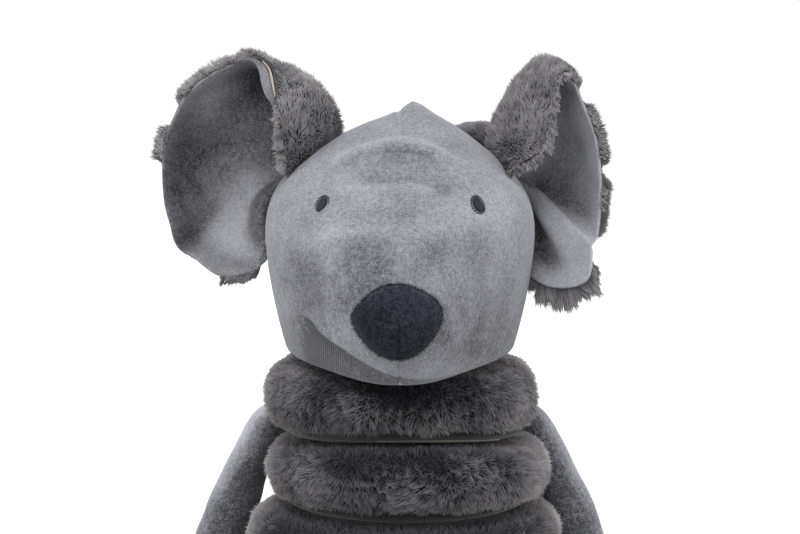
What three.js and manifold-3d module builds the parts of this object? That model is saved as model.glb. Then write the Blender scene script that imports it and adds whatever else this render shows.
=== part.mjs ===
// Plush mouse toy for a dog, sitting upright, in millimetres.
// +Z is up, the face looks along -Y, and +X is the toy's own left.
// The origin is the centre of the flat base panel that the toy sits on.

import * as THREE from 'three';
import { mergeVertices } from 'three/addons/utils/BufferGeometryUtils.js';
import Module from 'manifold-3d';

const wasm = await Module();
wasm.setup();

// Body: five fur tiers round a stuffed core
const bottomTierRadius = 76.5;
const bottomTierHeight = 36;
const fourthTierRadius = 79;
const fourthTierHeight = 38;
const thirdTierRadius = 77;
const thirdTierHeight = 38;
const secondTierRadius = 71.5;
const secondTierHeight = 33;
const topTierRadius = 69.5;
const topTierHeight = 43;
const bodyDepthShare = 0.88;
const tierBulge = 15;
const furThickness = 7;
const furHem = 3;
const fillingGap = 0.6;
const frontLift = 7;
const frontLiftHeight = 145;
const frontLiftSpread = 34;
const panelThickness = 1.6;
const coreRadius = 27;
const coreWall = 1.5;
const gap = 0.3;

// Squeaker, in a pocket of the core's filling
const squeakerRadius = 15.5;
const squeakerPocketRadius = 19;
const squeakerPocketHeight = 31;
const squeakerFloor = 84;
const squeakerPlate = 3;
const bellowsHeight = 18;
const bellowsRadius = 13;
const bellowsFoldDepth = 2.6;
const bellowsWall = 1;
const bellowsFolds = 3;
const reedRadius = 3.5;
const reedHeight = 7;

// Head
const headHalfWidth = 67;
const headHeight = 124;
const headFront = 64;
const headBack = 56;
const headWidestShare = 0.48;
const headBaseShare = 0.83;
const headEdge = 6;
const snoutReach = 35;
const snoutHeight = 28;
const snoutHalfWidth = 42;
const snoutAbove = 46;
const snoutBelow = 34;
const chinDroop = 11;
const chinDroopStart = 64;
const crownLean = 6;
const crownLeanShare = 0.8;
const velourWall = 1.8;
const headSeamDepth = 9;
const neckRadius = 20;
const neckPlugRadius = 17;
const neckPlugDepth = 10;
const neckEntryMargin = 1;
const headTilt = 8;
const headTiltMargin = 0.6;

// Nose and eyes, as patches that follow the face
const noseHeight = 34;
const noseHalfWidth = 19.5;
const noseCentreHeight = 30;
const noseThickness = 2.4;
const eyeHalfWidth = 3.3;
const eyeHalfHeight = 5;
const eyeOut = 36.5;
const eyeHeight = 80;
const eyeLean = 34;
const eyeThickness = 1.1;

// Ears: cupped sheets sewn into the head's side seam
const earSize = 60;
const earThroatOut = 53;
const earThroatDepth = 13;
const earThroatHeight = 90;
const earVelour = 1.6;
const earFur = 5.2;
const earFurOverhang = 4;
const earFoldRange = 10;
const earRootTopOut = 40;
const earRootTopHeight = 106;
const earRootBottomOut = 67;
const earRootBottomHeight = 44;

// Arms
const shoulderOut = 71.6;
const shoulderDepth = 28;
const shoulderHeight = 139;
const shoulderRadius = 8.5;
const upperArmRadius = 10.3;
const armMiddleRadius = 13.3;
const wristRadius = 13;
const handRadius = 15.5;
const armDrop = 125;
const armSpread = 35;
const limbWall = 1.6;
const limbOpening = 4;

// Legs
const hipOut = 44;
const hipFront = 77;
const hipRadius = 19;
const shinRadius = 16.5;
const footRadius = 18.5;
const legLength = 96;
const legSplay = 12;
const standingFlat = 0.5;

// Tail
const tailRoot = 8;
const tailTip = 4.2;
const tailLength = 132;
const tailBend = 75;
const tailStart = 73.8;

// Facets
const tierSegments = 24;
const tierArcSteps = 6;
const tierInnerSteps = 4;
const coreSegments = 18;
const headSegments = 24;
const earSectors = 2;
const limbSegments = 14;
const limbSteps = 5;
const limbCapSteps = 3;
const fingerSegments = 12;

// The tiers from the floor up
const tiers = [
  { name: 'tier_5', radius: bottomTierRadius, height: bottomTierHeight },
  { name: 'tier_4', radius: fourthTierRadius, height: fourthTierHeight },
  { name: 'tier_3', radius: thirdTierRadius, height: thirdTierHeight },
  { name: 'tier_2', radius: secondTierRadius, height: secondTierHeight },
  { name: 'tier_1', radius: topTierRadius, height: topTierHeight },
];
const stackHeight = tiers.reduce((sum, tier) => sum + tier.height, 0);
const headBase = stackHeight + gap;
const cutSize = 4 * stackHeight;
const radians = THREE.MathUtils.degToRad;
const smooth = THREE.MathUtils.smoothstep;

const velour = { color: 0x8c8c92, roughness: 0.95, metalness: 0 };
const fur = { color: 0x55535a, roughness: 1, metalness: 0 };
const knit = { color: 0x6d6b70, roughness: 0.95, metalness: 0 };
const noseVelour = { color: 0x262a36, roughness: 0.95, metalness: 0 };
const eyeThread = { color: 0x1c202c, roughness: 0.7, metalness: 0 };
const filling = { color: 0xe8e6e0, roughness: 1, metalness: 0 };
const plastic = { color: 0xd8dce0, roughness: 0.45, metalness: 0 };
const reedPlastic = { color: 0xc04a3a, roughness: 0.4, metalness: 0 };

const toy = new THREE.Group();
toy.name = 'plush_mouse';

function addPart(name, geometry, look) {
  const mesh = new THREE.Mesh(geometry, new THREE.MeshStandardMaterial(look));
  mesh.name = name;
  toy.add(mesh);
}

// A closed geometry with its shared corners merged
function merge(geometry) {
  const bare = geometry.clone();
  bare.deleteAttribute('normal');
  bare.deleteAttribute('uv');
  return mergeVertices(bare);
}

// Turn a closed geometry into a solid that can be cut, and back again
function solid(geometry) {
  const merged = merge(geometry);
  return new wasm.Manifold(new wasm.Mesh({
    numProp: 3,
    vertProperties: new Float32Array(merged.attributes.position.array),
    triVerts: new Uint32Array(merged.index.array),
  }));
}

function shape(cutSolid) {
  const mesh = cutSolid.getMesh();
  const geometry = new THREE.BufferGeometry();
  geometry.setAttribute('position', new THREE.BufferAttribute(new Float32Array(mesh.vertProperties), 3));
  geometry.setIndex(new THREE.BufferAttribute(new Uint32Array(mesh.triVerts), 1));
  geometry.computeVertexNormals();
  return geometry;
}

// The largest body of a cut solid, without the crumbs that a cut leaves at an edge
function mainPiece(cutSolid) {
  return cutSolid.decompose().reduce((best, piece) => (piece.volume() > best.volume() ? piece : best));
}

// Skin a list of rings, each a list of points; a ring of one point is a pole
function skin(rings) {
  const positions = [];
  const starts = [];
  for (const ring of rings) {
    starts.push(positions.length / 3);
    for (const point of ring) positions.push(point.x, point.y, point.z);
  }
  const index = [];
  for (let k = 0; k + 1 < rings.length; k++) {
    const upper = rings[k].length;
    const lower = rings[k + 1].length;
    const count = Math.max(upper, lower);
    for (let i = 0; i < count; i++) {
      const a = starts[k] + (i % upper);
      const b = starts[k] + ((i + 1) % upper);
      const c = starts[k + 1] + (i % lower);
      const d = starts[k + 1] + ((i + 1) % lower);
      if (lower > 1) index.push(a, c, d);
      if (upper > 1) index.push(a, d, b);
    }
  }
  const geometry = new THREE.BufferGeometry();
  geometry.setAttribute('position', new THREE.Float32BufferAttribute(positions, 3));
  geometry.setIndex(index);
  if (signedVolume(geometry) < 0) flip(geometry);
  geometry.computeVertexNormals();
  return geometry;
}

function signedVolume(geometry) {
  const position = geometry.attributes.position;
  const corners = [new THREE.Vector3(), new THREE.Vector3(), new THREE.Vector3()];
  let total = 0;
  for (let i = 0; i < geometry.index.count; i += 3) {
    corners.forEach((corner, k) => corner.fromBufferAttribute(position, geometry.index.getX(i + k)));
    total += corners[0].dot(corners[1].clone().cross(corners[2]));
  }
  return total;
}

function flip(geometry) {
  const index = geometry.index.array;
  for (let i = 0; i < index.length; i += 3) [index[i + 1], index[i + 2]] = [index[i + 2], index[i + 1]];
}

// A revolved section, given as (radius, height) pairs, with its axis on Z
function turned(section, segments, depthShare = 1) {
  const points = section.map(([radius, height]) => new THREE.Vector2(radius, height));
  const geometry = new THREE.LatheGeometry(points, segments);
  geometry.rotateX(Math.PI / 2);
  geometry.scale(1, depthShare, 1);
  const merged = merge(geometry);
  if (signedVolume(merged) < 0) flip(merged);
  merged.computeVertexNormals();
  return merged;
}

// Everything on one side of a plane, as a big box whose face lies in it
function halfSpace(point, outward) {
  const box = new THREE.BoxGeometry(cutSize, cutSize, cutSize);
  box.translate(0, 0, cutSize / 2);
  const turn = new THREE.Quaternion().setFromUnitVectors(new THREE.Vector3(0, 0, 1), outward);
  box.applyQuaternion(turn);
  box.translate(point.x, point.y, point.z);
  return solid(box);
}

// Fur tiers: each is a fur cover over a ring of filling, closed below by a knit panel
function bulgeArc(radius, bottom, top, inset, steps) {
  const middle = (bottom + top) / 2;
  const arc = [];
  for (let i = 0; i <= steps; i++) {
    const turn = Math.PI * (i / steps - 1 / 2);
    arc.push([
      radius - tierBulge + (tierBulge - inset) * Math.cos(turn),
      middle + ((top - bottom) / 2 - inset) * Math.sin(turn),
    ]);
  }
  return arc;
}

// The seam between the two top tiers is drawn up at the front
function lifted(geometry) {
  const position = geometry.attributes.position;
  for (let i = 0; i < position.count; i++) {
    const forward = -position.getY(i) / bodyDepthShare;
    const out = Math.hypot(position.getX(i), forward);
    const outShare = THREE.MathUtils.clamp((out - coreRadius - gap) / (thirdTierRadius - coreRadius), 0, 1);
    const frontShare = Math.max(0, forward / Math.max(out, gap)) ** 2;
    const height = position.getZ(i);
    const near = THREE.MathUtils.clamp((height - frontLiftHeight) / frontLiftSpread, -1, 1);
    position.setZ(i, height + frontLift * outShare * frontShare * (1 + Math.cos(Math.PI * near)) / 2);
  }
  return geometry;
}

function addTier(tier, bottom) {
  const top = bottom + tier.height - gap;
  const hole = coreRadius + gap;
  const hemInner = tier.radius - tierBulge - furHem;
  const cover = [
    [hemInner, bottom],
    ...bulgeArc(tier.radius, bottom, top, 0, tierArcSteps),
    [hole, top],
    [hole, top - furThickness],
    ...bulgeArc(tier.radius, bottom, top, furThickness, tierInnerSteps).reverse(),
    [hemInner, bottom + furThickness],
    [hemInner, bottom],
  ];
  addPart(tier.name + '_fur', lifted(turned(cover, tierSegments, bodyDepthShare)), fur);
  const panelOuter = hemInner - gap;
  const panelInner = bottom === 0 ? 0 : hole;
  const panel = [
    [panelInner, bottom],
    [panelOuter, bottom],
    [panelOuter, bottom + panelThickness],
    [panelInner, bottom + panelThickness],
  ];
  if (panelInner > 0) panel.push([panelInner, bottom]);
  const panelName = bottom === 0 ? 'base_panel' : tier.name + '_underside';
  addPart(panelName, lifted(turned(panel, tierSegments, bodyDepthShare)), knit);
  const fillInset = furThickness + fillingGap;
  const fill = [
    [hole, bottom + panelThickness + gap],
    [hemInner - gap, bottom + panelThickness + gap],
    [hemInner - gap, bottom + fillInset],
    ...bulgeArc(tier.radius, bottom, top, fillInset, tierInnerSteps),
    [hole, top - fillInset],
    [hole, bottom + panelThickness + gap],
  ];
  addPart(tier.name + '_filling', lifted(turned(fill, tierSegments, bodyDepthShare)), filling);
}

let tierBottom = 0;
for (const tier of tiers) {
  addTier(tier, tierBottom);
  tierBottom += tier.height;
}

// Core: a knit tube through all the tiers, filled, with a pocket for the squeaker
const coreBottom = panelThickness + gap;
const fillRadius = coreRadius - coreWall - gap;
const pocketTop = squeakerFloor + squeakerPocketHeight;
const coreTube = [
  [coreRadius, coreBottom],
  [coreRadius, stackHeight - gap],
  [coreRadius - coreWall, stackHeight - gap],
  [coreRadius - coreWall, coreBottom],
  [coreRadius, coreBottom],
];
addPart('core_tube', turned(coreTube, tierSegments, bodyDepthShare), knit);
const pocketRadius = squeakerPocketRadius;
const lowerFilling = [
  [0, coreBottom],
  [fillRadius, coreBottom],
  [fillRadius, pocketTop],
  [pocketRadius, pocketTop],
  [pocketRadius, squeakerFloor],
  [0, squeakerFloor],
];
addPart('core_filling_lower', turned(lowerFilling, tierSegments, bodyDepthShare), filling);
const upperFilling = [
  [0, pocketTop + gap],
  [fillRadius, pocketTop + gap],
  [fillRadius, stackHeight - neckPlugDepth - gap],
  [0, stackHeight - neckPlugDepth - gap],
];
addPart('core_filling_upper', turned(upperFilling, tierSegments, bodyDepthShare), filling);

// Squeaker: a base plate with a reed in it, a folded bellows and a top plate
const plateBottom = squeakerFloor + gap;
const plateTop = plateBottom + squeakerPlate;
const reedHole = reedRadius + gap;
const basePlate = [
  [reedHole, plateBottom],
  [squeakerRadius, plateBottom],
  [squeakerRadius, plateTop],
  [reedHole, plateTop],
  [reedHole, plateBottom],
];
addPart('squeaker_base', turned(basePlate, coreSegments), plastic);
const reed = [
  [0, plateBottom],
  [reedRadius, plateBottom],
  [reedRadius, plateBottom + reedHeight],
  [0, plateBottom + reedHeight],
];
addPart('squeaker_reed', turned(reed, fingerSegments), reedPlastic);

function bellowsWallPoints(inset) {
  const points = [];
  const turns = 2 * bellowsFolds;
  for (let i = 0; i <= turns; i++) {
    const radius = bellowsRadius - (i % 2) * bellowsFoldDepth - inset;
    points.push([radius, plateTop + gap + bellowsHeight * i / turns]);
  }
  return points;
}
const outerFolds = bellowsWallPoints(0);
const innerFolds = bellowsWallPoints(bellowsWall).reverse();
const bellows = [...outerFolds, ...innerFolds, outerFolds[0]];
addPart('squeaker_bellows', turned(bellows, coreSegments), plastic);
const capBottom = plateTop + bellowsHeight + 2 * gap;
const cap = [
  [0, capBottom],
  [squeakerRadius, capBottom],
  [squeakerRadius, capBottom + squeakerPlate],
  [0, capBottom + squeakerPlate],
];
addPart('squeaker_cap', turned(cap, coreSegments), plastic);

// Neck: a stuffed knit ball that the head turns and tilts on, with its plug in the core
function arcPoints(radius, from, to, steps) {
  const points = [];
  for (let i = 0; i <= steps; i++) {
    const turn = radians(from + (to - from) * i / steps);
    points.push([radius * Math.cos(turn), stackHeight + radius * Math.sin(turn)]);
  }
  return points;
}
const neckBall = arcPoints(neckRadius, 0, 90, 6);
neckBall[neckBall.length - 1][0] = 0;
const neck = [
  [0, stackHeight - neckPlugDepth],
  [neckPlugRadius, stackHeight - neckPlugDepth],
  [neckPlugRadius, stackHeight],
  ...neckBall,
];
addPart('neck_ball', turned(neck, coreSegments), knit);

// Head: a pear-shaped outline that narrows to a sewn peak, with a broad snout pushed forward
const headRowShares = [
  1, 0.98, 0.93, 0.86, 0.78, 0.69, 0.6, 0.5, 0.4, 0.31, 0.23, 0.16, 0.1, 0.05, 0.015, 0,
];
const headUndersideShares = [0.93, 0.84, 0.72, 0.5, 0];
const headUpperPower = 2.4;
const headLowerPower = 1.6;
const snoutPower = 2.5;
const frontCrowdingShare = 0.35;

function headWidthShare(up) {
  if (up > headWidestShare) {
    return 1 - ((up - headWidestShare) / (1 - headWidestShare)) ** headUpperPower;
  }
  return headBaseShare + (1 - headBaseShare) * (1 - (1 - up / headWidestShare) ** headLowerPower);
}

function headPoint(around, up, inset) {
  const height = inset + up * (headHeight - 2 * inset);
  const round = Math.max(0, 1 - height / headEdge);
  const edge = headEdge * (1 - Math.sqrt(Math.max(0, 1 - round * round)));
  const width = headWidthShare(up);
  const side = Math.max(0, (headHalfWidth - inset) * width - edge);
  const forward = Math.cos(around);
  const depth = Math.max(0, ((forward > 0 ? headFront : headBack) - inset) * width - edge);
  const x = side * Math.sin(around);
  const rise = height - snoutHeight;
  const far = Math.hypot(x / snoutHalfWidth, rise / (rise > 0 ? snoutAbove : snoutBelow));
  const snout = snoutReach * Math.exp(-(far ** snoutPower)) * Math.sqrt(Math.max(0, forward));
  const y = -depth * forward - snout;
  const lean = crownLean * smooth(up, crownLeanShare, 1);
  return new THREE.Vector3(x + lean, y, headBase + height - droop(x, y, up));
}

// The chin hangs a little below the head's base where it stands out past the body
function droop(x, y, up) {
  const past = (Math.hypot(x, y) - chinDroopStart) / snoutReach;
  const low = Math.max(0, 1 - up / headWidestShare);
  return y < 0 && past > 0 ? chinDroop * Math.min(1, past) * low * low : 0;
}

function headForm(inset) {
  const rings = headRowShares.map((up) => {
    if (up === 1) return [headPoint(0, 1, inset)];
    return Array.from({ length: headSegments }, (_, i) => {
      const turn = 2 * Math.PI * i / headSegments;
      return headPoint(turn - frontCrowdingShare * Math.sin(turn), up, inset);
    });
  });
  const rim = rings[rings.length - 1];
  const floor = headBase + inset;
  for (const share of headUndersideShares) {
    if (share === 0) {
      rings.push([new THREE.Vector3(0, 0, floor)]);
      continue;
    }
    rings.push(rim.map((point) => {
      const x = point.x * share;
      const y = point.y * share;
      return new THREE.Vector3(x, y, floor - droop(x, y, 0));
    }));
  }
  const backLift = halfSpace(
    new THREE.Vector3(0, 0, floor),
    new THREE.Vector3(0, Math.sin(radians(headTilt + headTiltMargin)), -Math.cos(radians(headTilt + headTiltMargin))),
  );
  return solid(skin(rings)).subtract(backLift);
}

function ball(radius, height) {
  const geometry = new THREE.SphereGeometry(radius, coreSegments, fingerSegments);
  geometry.rotateX(Math.PI / 2);
  geometry.translate(0, 0, height);
  return solid(geometry);
}

const head = headForm(0);
const headInside = headForm(velourWall);
const headRoom = headForm(-gap);
const neckEntry = ball(neckRadius + neckEntryMargin, stackHeight);
const seamForward = new THREE.Vector3(0, -1, 0);
const seamBackward = new THREE.Vector3(0, 1, 0);
const headShell = head.subtract(headInside).subtract(neckEntry);
const beforeSeam = new THREE.Vector3(0, headSeamDepth - gap / 2, 0);
const behindSeam = new THREE.Vector3(0, headSeamDepth + gap / 2, 0);
const facePanel = headShell.subtract(halfSpace(beforeSeam, seamBackward));
const backPanel = headShell.subtract(halfSpace(behindSeam, seamForward));
addPart('face_panel', shape(facePanel), velour);
addPart('head_back_panel', shape(backPanel), velour);
const headFilling = headForm(velourWall + gap).subtract(neckEntry);
addPart('head_filling', shape(headFilling), filling);

// Nose and eyes: outlines pressed onto the face, each as thick as its patch
const patchReach = headFront + snoutReach + noseThickness + gap;
function facePatch(outline, centreX, centreZ, lean, thickness) {
  const prism = new THREE.ExtrudeGeometry(outline, { depth: patchReach, bevelEnabled: false });
  prism.rotateX(Math.PI / 2);
  prism.rotateY(radians(lean));
  prism.translate(centreX, 0, centreZ);
  const outside = head.translate([0, -thickness - gap, 0]);
  const inside = head.translate([0, -gap, 0]);
  return solid(prism).intersect(outside).subtract(inside);
}

function pickOutline(halfWidth, height) {
  const widestShare = 0.08;
  const crownShare = 0.6;
  const tipShare = 0.42;
  const outline = new THREE.Shape();
  const top = height / 2;
  const widest = height * widestShare;
  const crown = halfWidth * crownShare;
  const tip = halfWidth * tipShare;
  outline.moveTo(0, top);
  outline.bezierCurveTo(crown, top, halfWidth, top * crownShare, halfWidth, widest);
  outline.bezierCurveTo(halfWidth, -top * crownShare, tip, -top, 0, -top);
  outline.bezierCurveTo(-tip, -top, -halfWidth, -top * crownShare, -halfWidth, widest);
  outline.bezierCurveTo(-halfWidth, top * crownShare, -crown, top, 0, top);
  return new THREE.Shape(outline.getPoints(fingerSegments / 2));
}

function ovalOutline(halfWidth, halfHeight) {
  const oval = new THREE.Shape();
  oval.absellipse(0, 0, halfWidth, halfHeight, 0, 2 * Math.PI);
  return new THREE.Shape(oval.getPoints(coreSegments));
}

const nose = facePatch(
  pickOutline(noseHalfWidth, noseHeight), 0, headBase + noseCentreHeight, 0, noseThickness,
);
addPart('nose', shape(nose), noseVelour);
for (const [name, side] of [['eye_left', 1], ['eye_right', -1]]) {
  const eye = facePatch(
    ovalOutline(eyeHalfWidth, eyeHalfHeight), side * eyeOut, headBase + eyeHeight, -side * eyeLean, eyeThickness,
  );
  addPart(name, shape(eye), eyeThread);
}

// Ears: stations round the rim, each with its rim point and the point half way out from the throat.
// All are shares of the ear size: out from the head, back, and up.
// The near wall of each ear folds forward over a crest and shows its fur.
const rightEarShares = [
  [[-0.1, -0.4, 0.09], [-0.2, -0.2, 0.14]],
  [[0.05, -0.52, 0.38], [-0.31, -0.22, 0.4]],
  [[0.13, -0.54, 0.63], [-0.2, -0.2, 0.6]],
  [[0.21, -0.4, 0.86], [0.02, -0.12, 0.78]],
  [[0.47, -0.2, 0.92], [0.25, 0.03, 0.6]],
  [[0.81, -0.27, 0.71], [0.46, 0.08, 0.35]],
  [[1, -0.3, 0.33], [0.57, 0.1, 0.13]],
  [[1.02, -0.33, -0.12], [0.57, 0.1, -0.12]],
  [[0.93, -0.4, -0.52], [0.51, 0.07, -0.34]],
  [[0.61, -0.47, -0.82], [0.34, 0, -0.47]],
  [[0.27, -0.3, -0.8], [0.14, -0.03, -0.44]],
  [[0.07, 0.03, -0.54], [0.02, 0, -0.28]],
  [[-0.16, 0.13, -0.16], [-0.1, 0.03, -0.07]],
];
const leftEarShares = [
  [[0.02, -0.42, 0], [-0.06, -0.18, 0.08]],
  [[0.28, -0.54, 0.25], [-0.04, -0.2, 0.38]],
  [[0.35, -0.55, 0.53], [0.05, -0.18, 0.62]],
  [[0.42, -0.44, 0.78], [0.2, -0.07, 0.78]],
  [[0.52, -0.23, 0.74], [0.3, 0.07, 0.5]],
  [[0.66, -0.23, 0.45], [0.4, 0.13, 0.26]],
  [[0.74, -0.27, 0.12], [0.43, 0.13, 0.05]],
  [[0.75, -0.3, -0.29], [0.4, 0.07, -0.16]],
  [[0.7, -0.4, -0.7], [0.36, -0.07, -0.35]],
  [[0.62, -0.48, -0.87], [0.31, -0.1, -0.44]],
  [[0.39, -0.4, -0.93], [0.24, -0.03, -0.47]],
  [[0.18, -0.2, -0.84], [0.12, 0, -0.42]],
  [[0, 0.07, -0.54], [0, 0.03, -0.28]],
];

const earRingShares = [0.03, 0.17, 0.36, 0.58, 0.8, 1];
const normalSpreadShare = 0.06;

function earSurface(stations, side) {
  const throat = new THREE.Vector3(side * earThroatOut, earThroatDepth, headBase + earThroatHeight);
  const place = ([out, back, up]) => new THREE.Vector3(side * out, back, up).multiplyScalar(earSize).add(throat);
  const rim = new THREE.CatmullRomCurve3(stations.map((station) => place(station[0])), true, 'centripetal');
  const middle = new THREE.CatmullRomCurve3(stations.map((station) => place(station[1])), true, 'centripetal');
  return (around, out) => {
    const end = rim.getPoint(around);
    const half = middle.getPoint(around);
    const pull = half.multiplyScalar(2).addScaledVector(throat, -1 / 2).addScaledVector(end, -1 / 2);
    const stay = 1 - out;
    return throat.clone().multiplyScalar(stay * stay)
      .addScaledVector(pull, 2 * stay * out)
      .addScaledVector(end, out * out);
  };
}

// Direction from the sheet's velour side to its fur side
function earNormal(surface, around, out, side) {
  const spread = normalSpreadShare;
  const reach = THREE.MathUtils.clamp(out, 2 * spread, 1 - spread);
  const outward = surface(around, reach + spread).sub(surface(around, reach - spread));
  const sideways = surface((around + spread) % 1, reach).sub(surface((around + 1 - spread) % 1, reach));
  return outward.cross(sideways).multiplyScalar(side).normalize();
}

function earSheet(surface, side, sectors, ringShares, nearFace, farFace, overhang) {
  const at = (around, out, depth, beyond) => {
    const normal = earNormal(surface, around, out, side);
    const point = surface(around, out).addScaledVector(normal, depth);
    const outward = surface(around, 1).sub(surface(around, 1 - normalSpreadShare)).normalize();
    return point.addScaledVector(outward, beyond);
  };
  const ring = (out, depth, beyond) => Array.from({ length: sectors }, (_, i) => at(i / sectors, out, depth, beyond));
  const rings = ringShares.map((share) => ring(share, nearFace, 0));
  if (overhang > 0) rings.push(ring(1, (nearFace + farFace) / 2, overhang));
  for (const share of ringShares.toReversed()) rings.push(ring(share, farFace, 0));
  rings.push(rings[0]);
  return solid(skin(rings));
}

// The space that the head sweeps in the ear's frame as the ear folds through its range
function headSweep(side) {
  const top = new THREE.Vector3(side * earRootTopOut, headSeamDepth, headBase + earRootTopHeight);
  const bottom = new THREE.Vector3(side * earRootBottomOut, headSeamDepth, headBase + earRootBottomHeight);
  const axis = top.clone().sub(bottom).normalize();
  let swept = headRoom;
  for (const turn of [-earFoldRange, earFoldRange]) {
    const matrix = new THREE.Matrix4().makeTranslation(top)
      .multiply(new THREE.Matrix4().makeRotationAxis(axis, radians(turn)))
      .multiply(new THREE.Matrix4().makeTranslation(top.clone().negate()));
    swept = swept.add(headRoom.transform(matrix.toArray()));
  }
  return swept;
}

function addEar(name, stations, side) {
  const surface = earSurface(stations, side);
  const sectors = earSectors * stations.length;
  const sweep = headSweep(side);
  const front = earSheet(surface, side, sectors, earRingShares, 0, earVelour, 0).subtract(sweep);
  const furInner = earVelour + gap;
  const furOuter = furInner + earFur;
  const furRings = earRingShares.slice(1);
  const velourRoom = earSheet(surface, side, sectors, earRingShares, -gap, furInner - gap / 3, 0);
  const back = earSheet(surface, side, sectors, furRings, furInner, furOuter, earFurOverhang)
    .subtract(sweep)
    .subtract(velourRoom);
  addPart(name + '_velour', shape(mainPiece(front)), velour);
  addPart(name + '_fur', shape(mainPiece(back)), fur);
}
addEar('ear_left', leftEarShares, 1);
addEar('ear_right', rightEarShares, -1);

// Limbs: a tube along a route, with its own radius along it and round ends
function limbRing(limb, distance, inset) {
  const share = THREE.MathUtils.clamp(distance / limb.length, 0, 1);
  const centre = limb.route.getPointAt(share);
  const along = limb.route.getTangentAt(share);
  const across = along.clone().cross(limb.flat).normalize();
  const full = limb.radiusAt(share);
  const end = Math.min(distance, limb.length - distance) - inset;
  const open = Math.max(0, 1 - Math.max(0, end) / (full - inset));
  const radius = (full - inset) * Math.sqrt(1 - open * open);
  return Array.from({ length: limbSegments }, (_, i) => {
    const turn = 2 * Math.PI * i / limbSegments;
    return centre.clone()
      .addScaledVector(limb.flat, radius * Math.cos(turn))
      .addScaledVector(across, radius * Math.sin(turn));
  });
}

// Distances along a limb: steps of equal turn round each end, then equal steps between
function limbDistances(limb, inset, mouth) {
  const capShare = (i) => 1 - Math.cos(Math.PI / 2 * i / limbCapSteps);
  const startRadius = limb.startRadius - inset;
  const endRadius = limb.endRadius - inset;
  const first = inset + startRadius;
  const last = limb.length - inset - endRadius;
  const distances = [];
  for (let i = 0; i < limbCapSteps; i++) distances.push(inset + startRadius * capShare(i));
  for (let i = 0; i <= limbSteps; i++) distances.push(first + (last - first) * i / limbSteps);
  for (let i = limbCapSteps - 1; i >= 0; i--) {
    distances.push(limb.length - inset - Math.max(mouth, endRadius * capShare(i)));
  }
  return distances;
}

function limbRings(limb, inset, mouth) {
  const distances = limbDistances(limb, inset, mouth);
  const last = distances.length - 1;
  return distances.map((distance, i) => {
    const isPole = i === 0 || (i === last && mouth === 0);
    return isPole ? [limb.route.getPointAt(distance / limb.length)] : limbRing(limb, distance, inset);
  });
}

// How far from the round end a mouth of the given radius lies
function mouthDistance(endRadius, mouthRadius) {
  return endRadius - Math.sqrt(endRadius * endRadius - mouthRadius * mouthRadius);
}

function limbCover(limb) {
  const outer = limbRings(limb, 0, mouthDistance(limb.endRadius, limbOpening));
  const inner = limbRings(limb, limbWall, mouthDistance(limb.endRadius - limbWall, limbOpening));
  return skin([...outer, ...inner.reverse()]);
}

function limbFilling(limb) {
  const inset = limbWall + gap;
  const mouth = mouthDistance(limb.endRadius - inset, limbOpening);
  const rings = limbRings(limb, inset, mouth);
  const share = (limb.length - inset - mouth) / limb.length;
  return skin([...rings, [limb.route.getPointAt(share)]]);
}

function makeLimb(points, radii, flat) {
  const route = new THREE.CatmullRomCurve3(points, false, 'centripetal');
  const girth = new THREE.SplineCurve(radii.map((radius, i) => new THREE.Vector2(i / (radii.length - 1), radius)));
  return {
    route,
    length: route.getLength(),
    flat,
    startRadius: radii[0],
    endRadius: radii[radii.length - 1],
    radiusAt: (share) => girth.getPoint(share).y,
  };
}

function standFlat(geometry) {
  const below = halfSpace(new THREE.Vector3(0, 0, 0), new THREE.Vector3(0, 0, -1));
  return shape(solid(geometry).subtract(below));
}

// Arms hang from the valley between the two top tiers; the route runs from the hand up to the shoulder
const armRouteShares = [
  [1, 1],
  [0.97, 0.83],
  [0.87, 0.66],
  [0.71, 0.49],
  [0.54, 0.36],
  [0.4, 0.26],
  [0.26, 0.16],
  [0.12, 0.065],
  [0, 0],
  [-0.13, -0.066],
];
const armRadii = [
  handRadius, handRadius, wristRadius, armMiddleRadius, armMiddleRadius, upperArmRadius, shoulderRadius,
];

function addArm(name, side) {
  const flat = new THREE.Vector3(0, side, 0);
  const points = armRouteShares.map(([outShare, downShare]) => new THREE.Vector3(
    side * (shoulderOut + outShare * armSpread),
    shoulderDepth,
    shoulderHeight - downShare * armDrop,
  ));
  const limb = makeLimb(points, armRadii, flat);
  addPart(name + '_cover', limbCover(limb), velour);
  addPart(name + '_filling', limbFilling(limb), filling);
}
addArm('arm_left', 1);
addArm('arm_right', -1);

// Legs lie forward on the floor from the lowest tier; the route runs from the foot back to the hip
function addLeg(name, side) {
  const centreHeight = footRadius - standingFlat;
  const hip = new THREE.Vector3(side * hipOut, -hipFront, centreHeight);
  const forward = new THREE.Vector3(side * Math.sin(radians(legSplay)), -Math.cos(radians(legSplay)), 0);
  const foot = hip.clone().addScaledVector(forward, legLength - hipRadius);
  const heel = hip.clone().addScaledVector(forward, -hipRadius);
  const limb = makeLimb(
    [foot, foot.clone().lerp(heel, 1 / 2), heel],
    [footRadius, footRadius, shinRadius, shinRadius, hipRadius, hipRadius],
    new THREE.Vector3(0, 0, 1),
  );
  addPart(name + '_cover', standFlat(limbCover(limb)), velour);
  addPart(name + '_filling', limbFilling(limb), filling);
}
addLeg('leg_left', 1);
addLeg('leg_right', -1);

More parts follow.
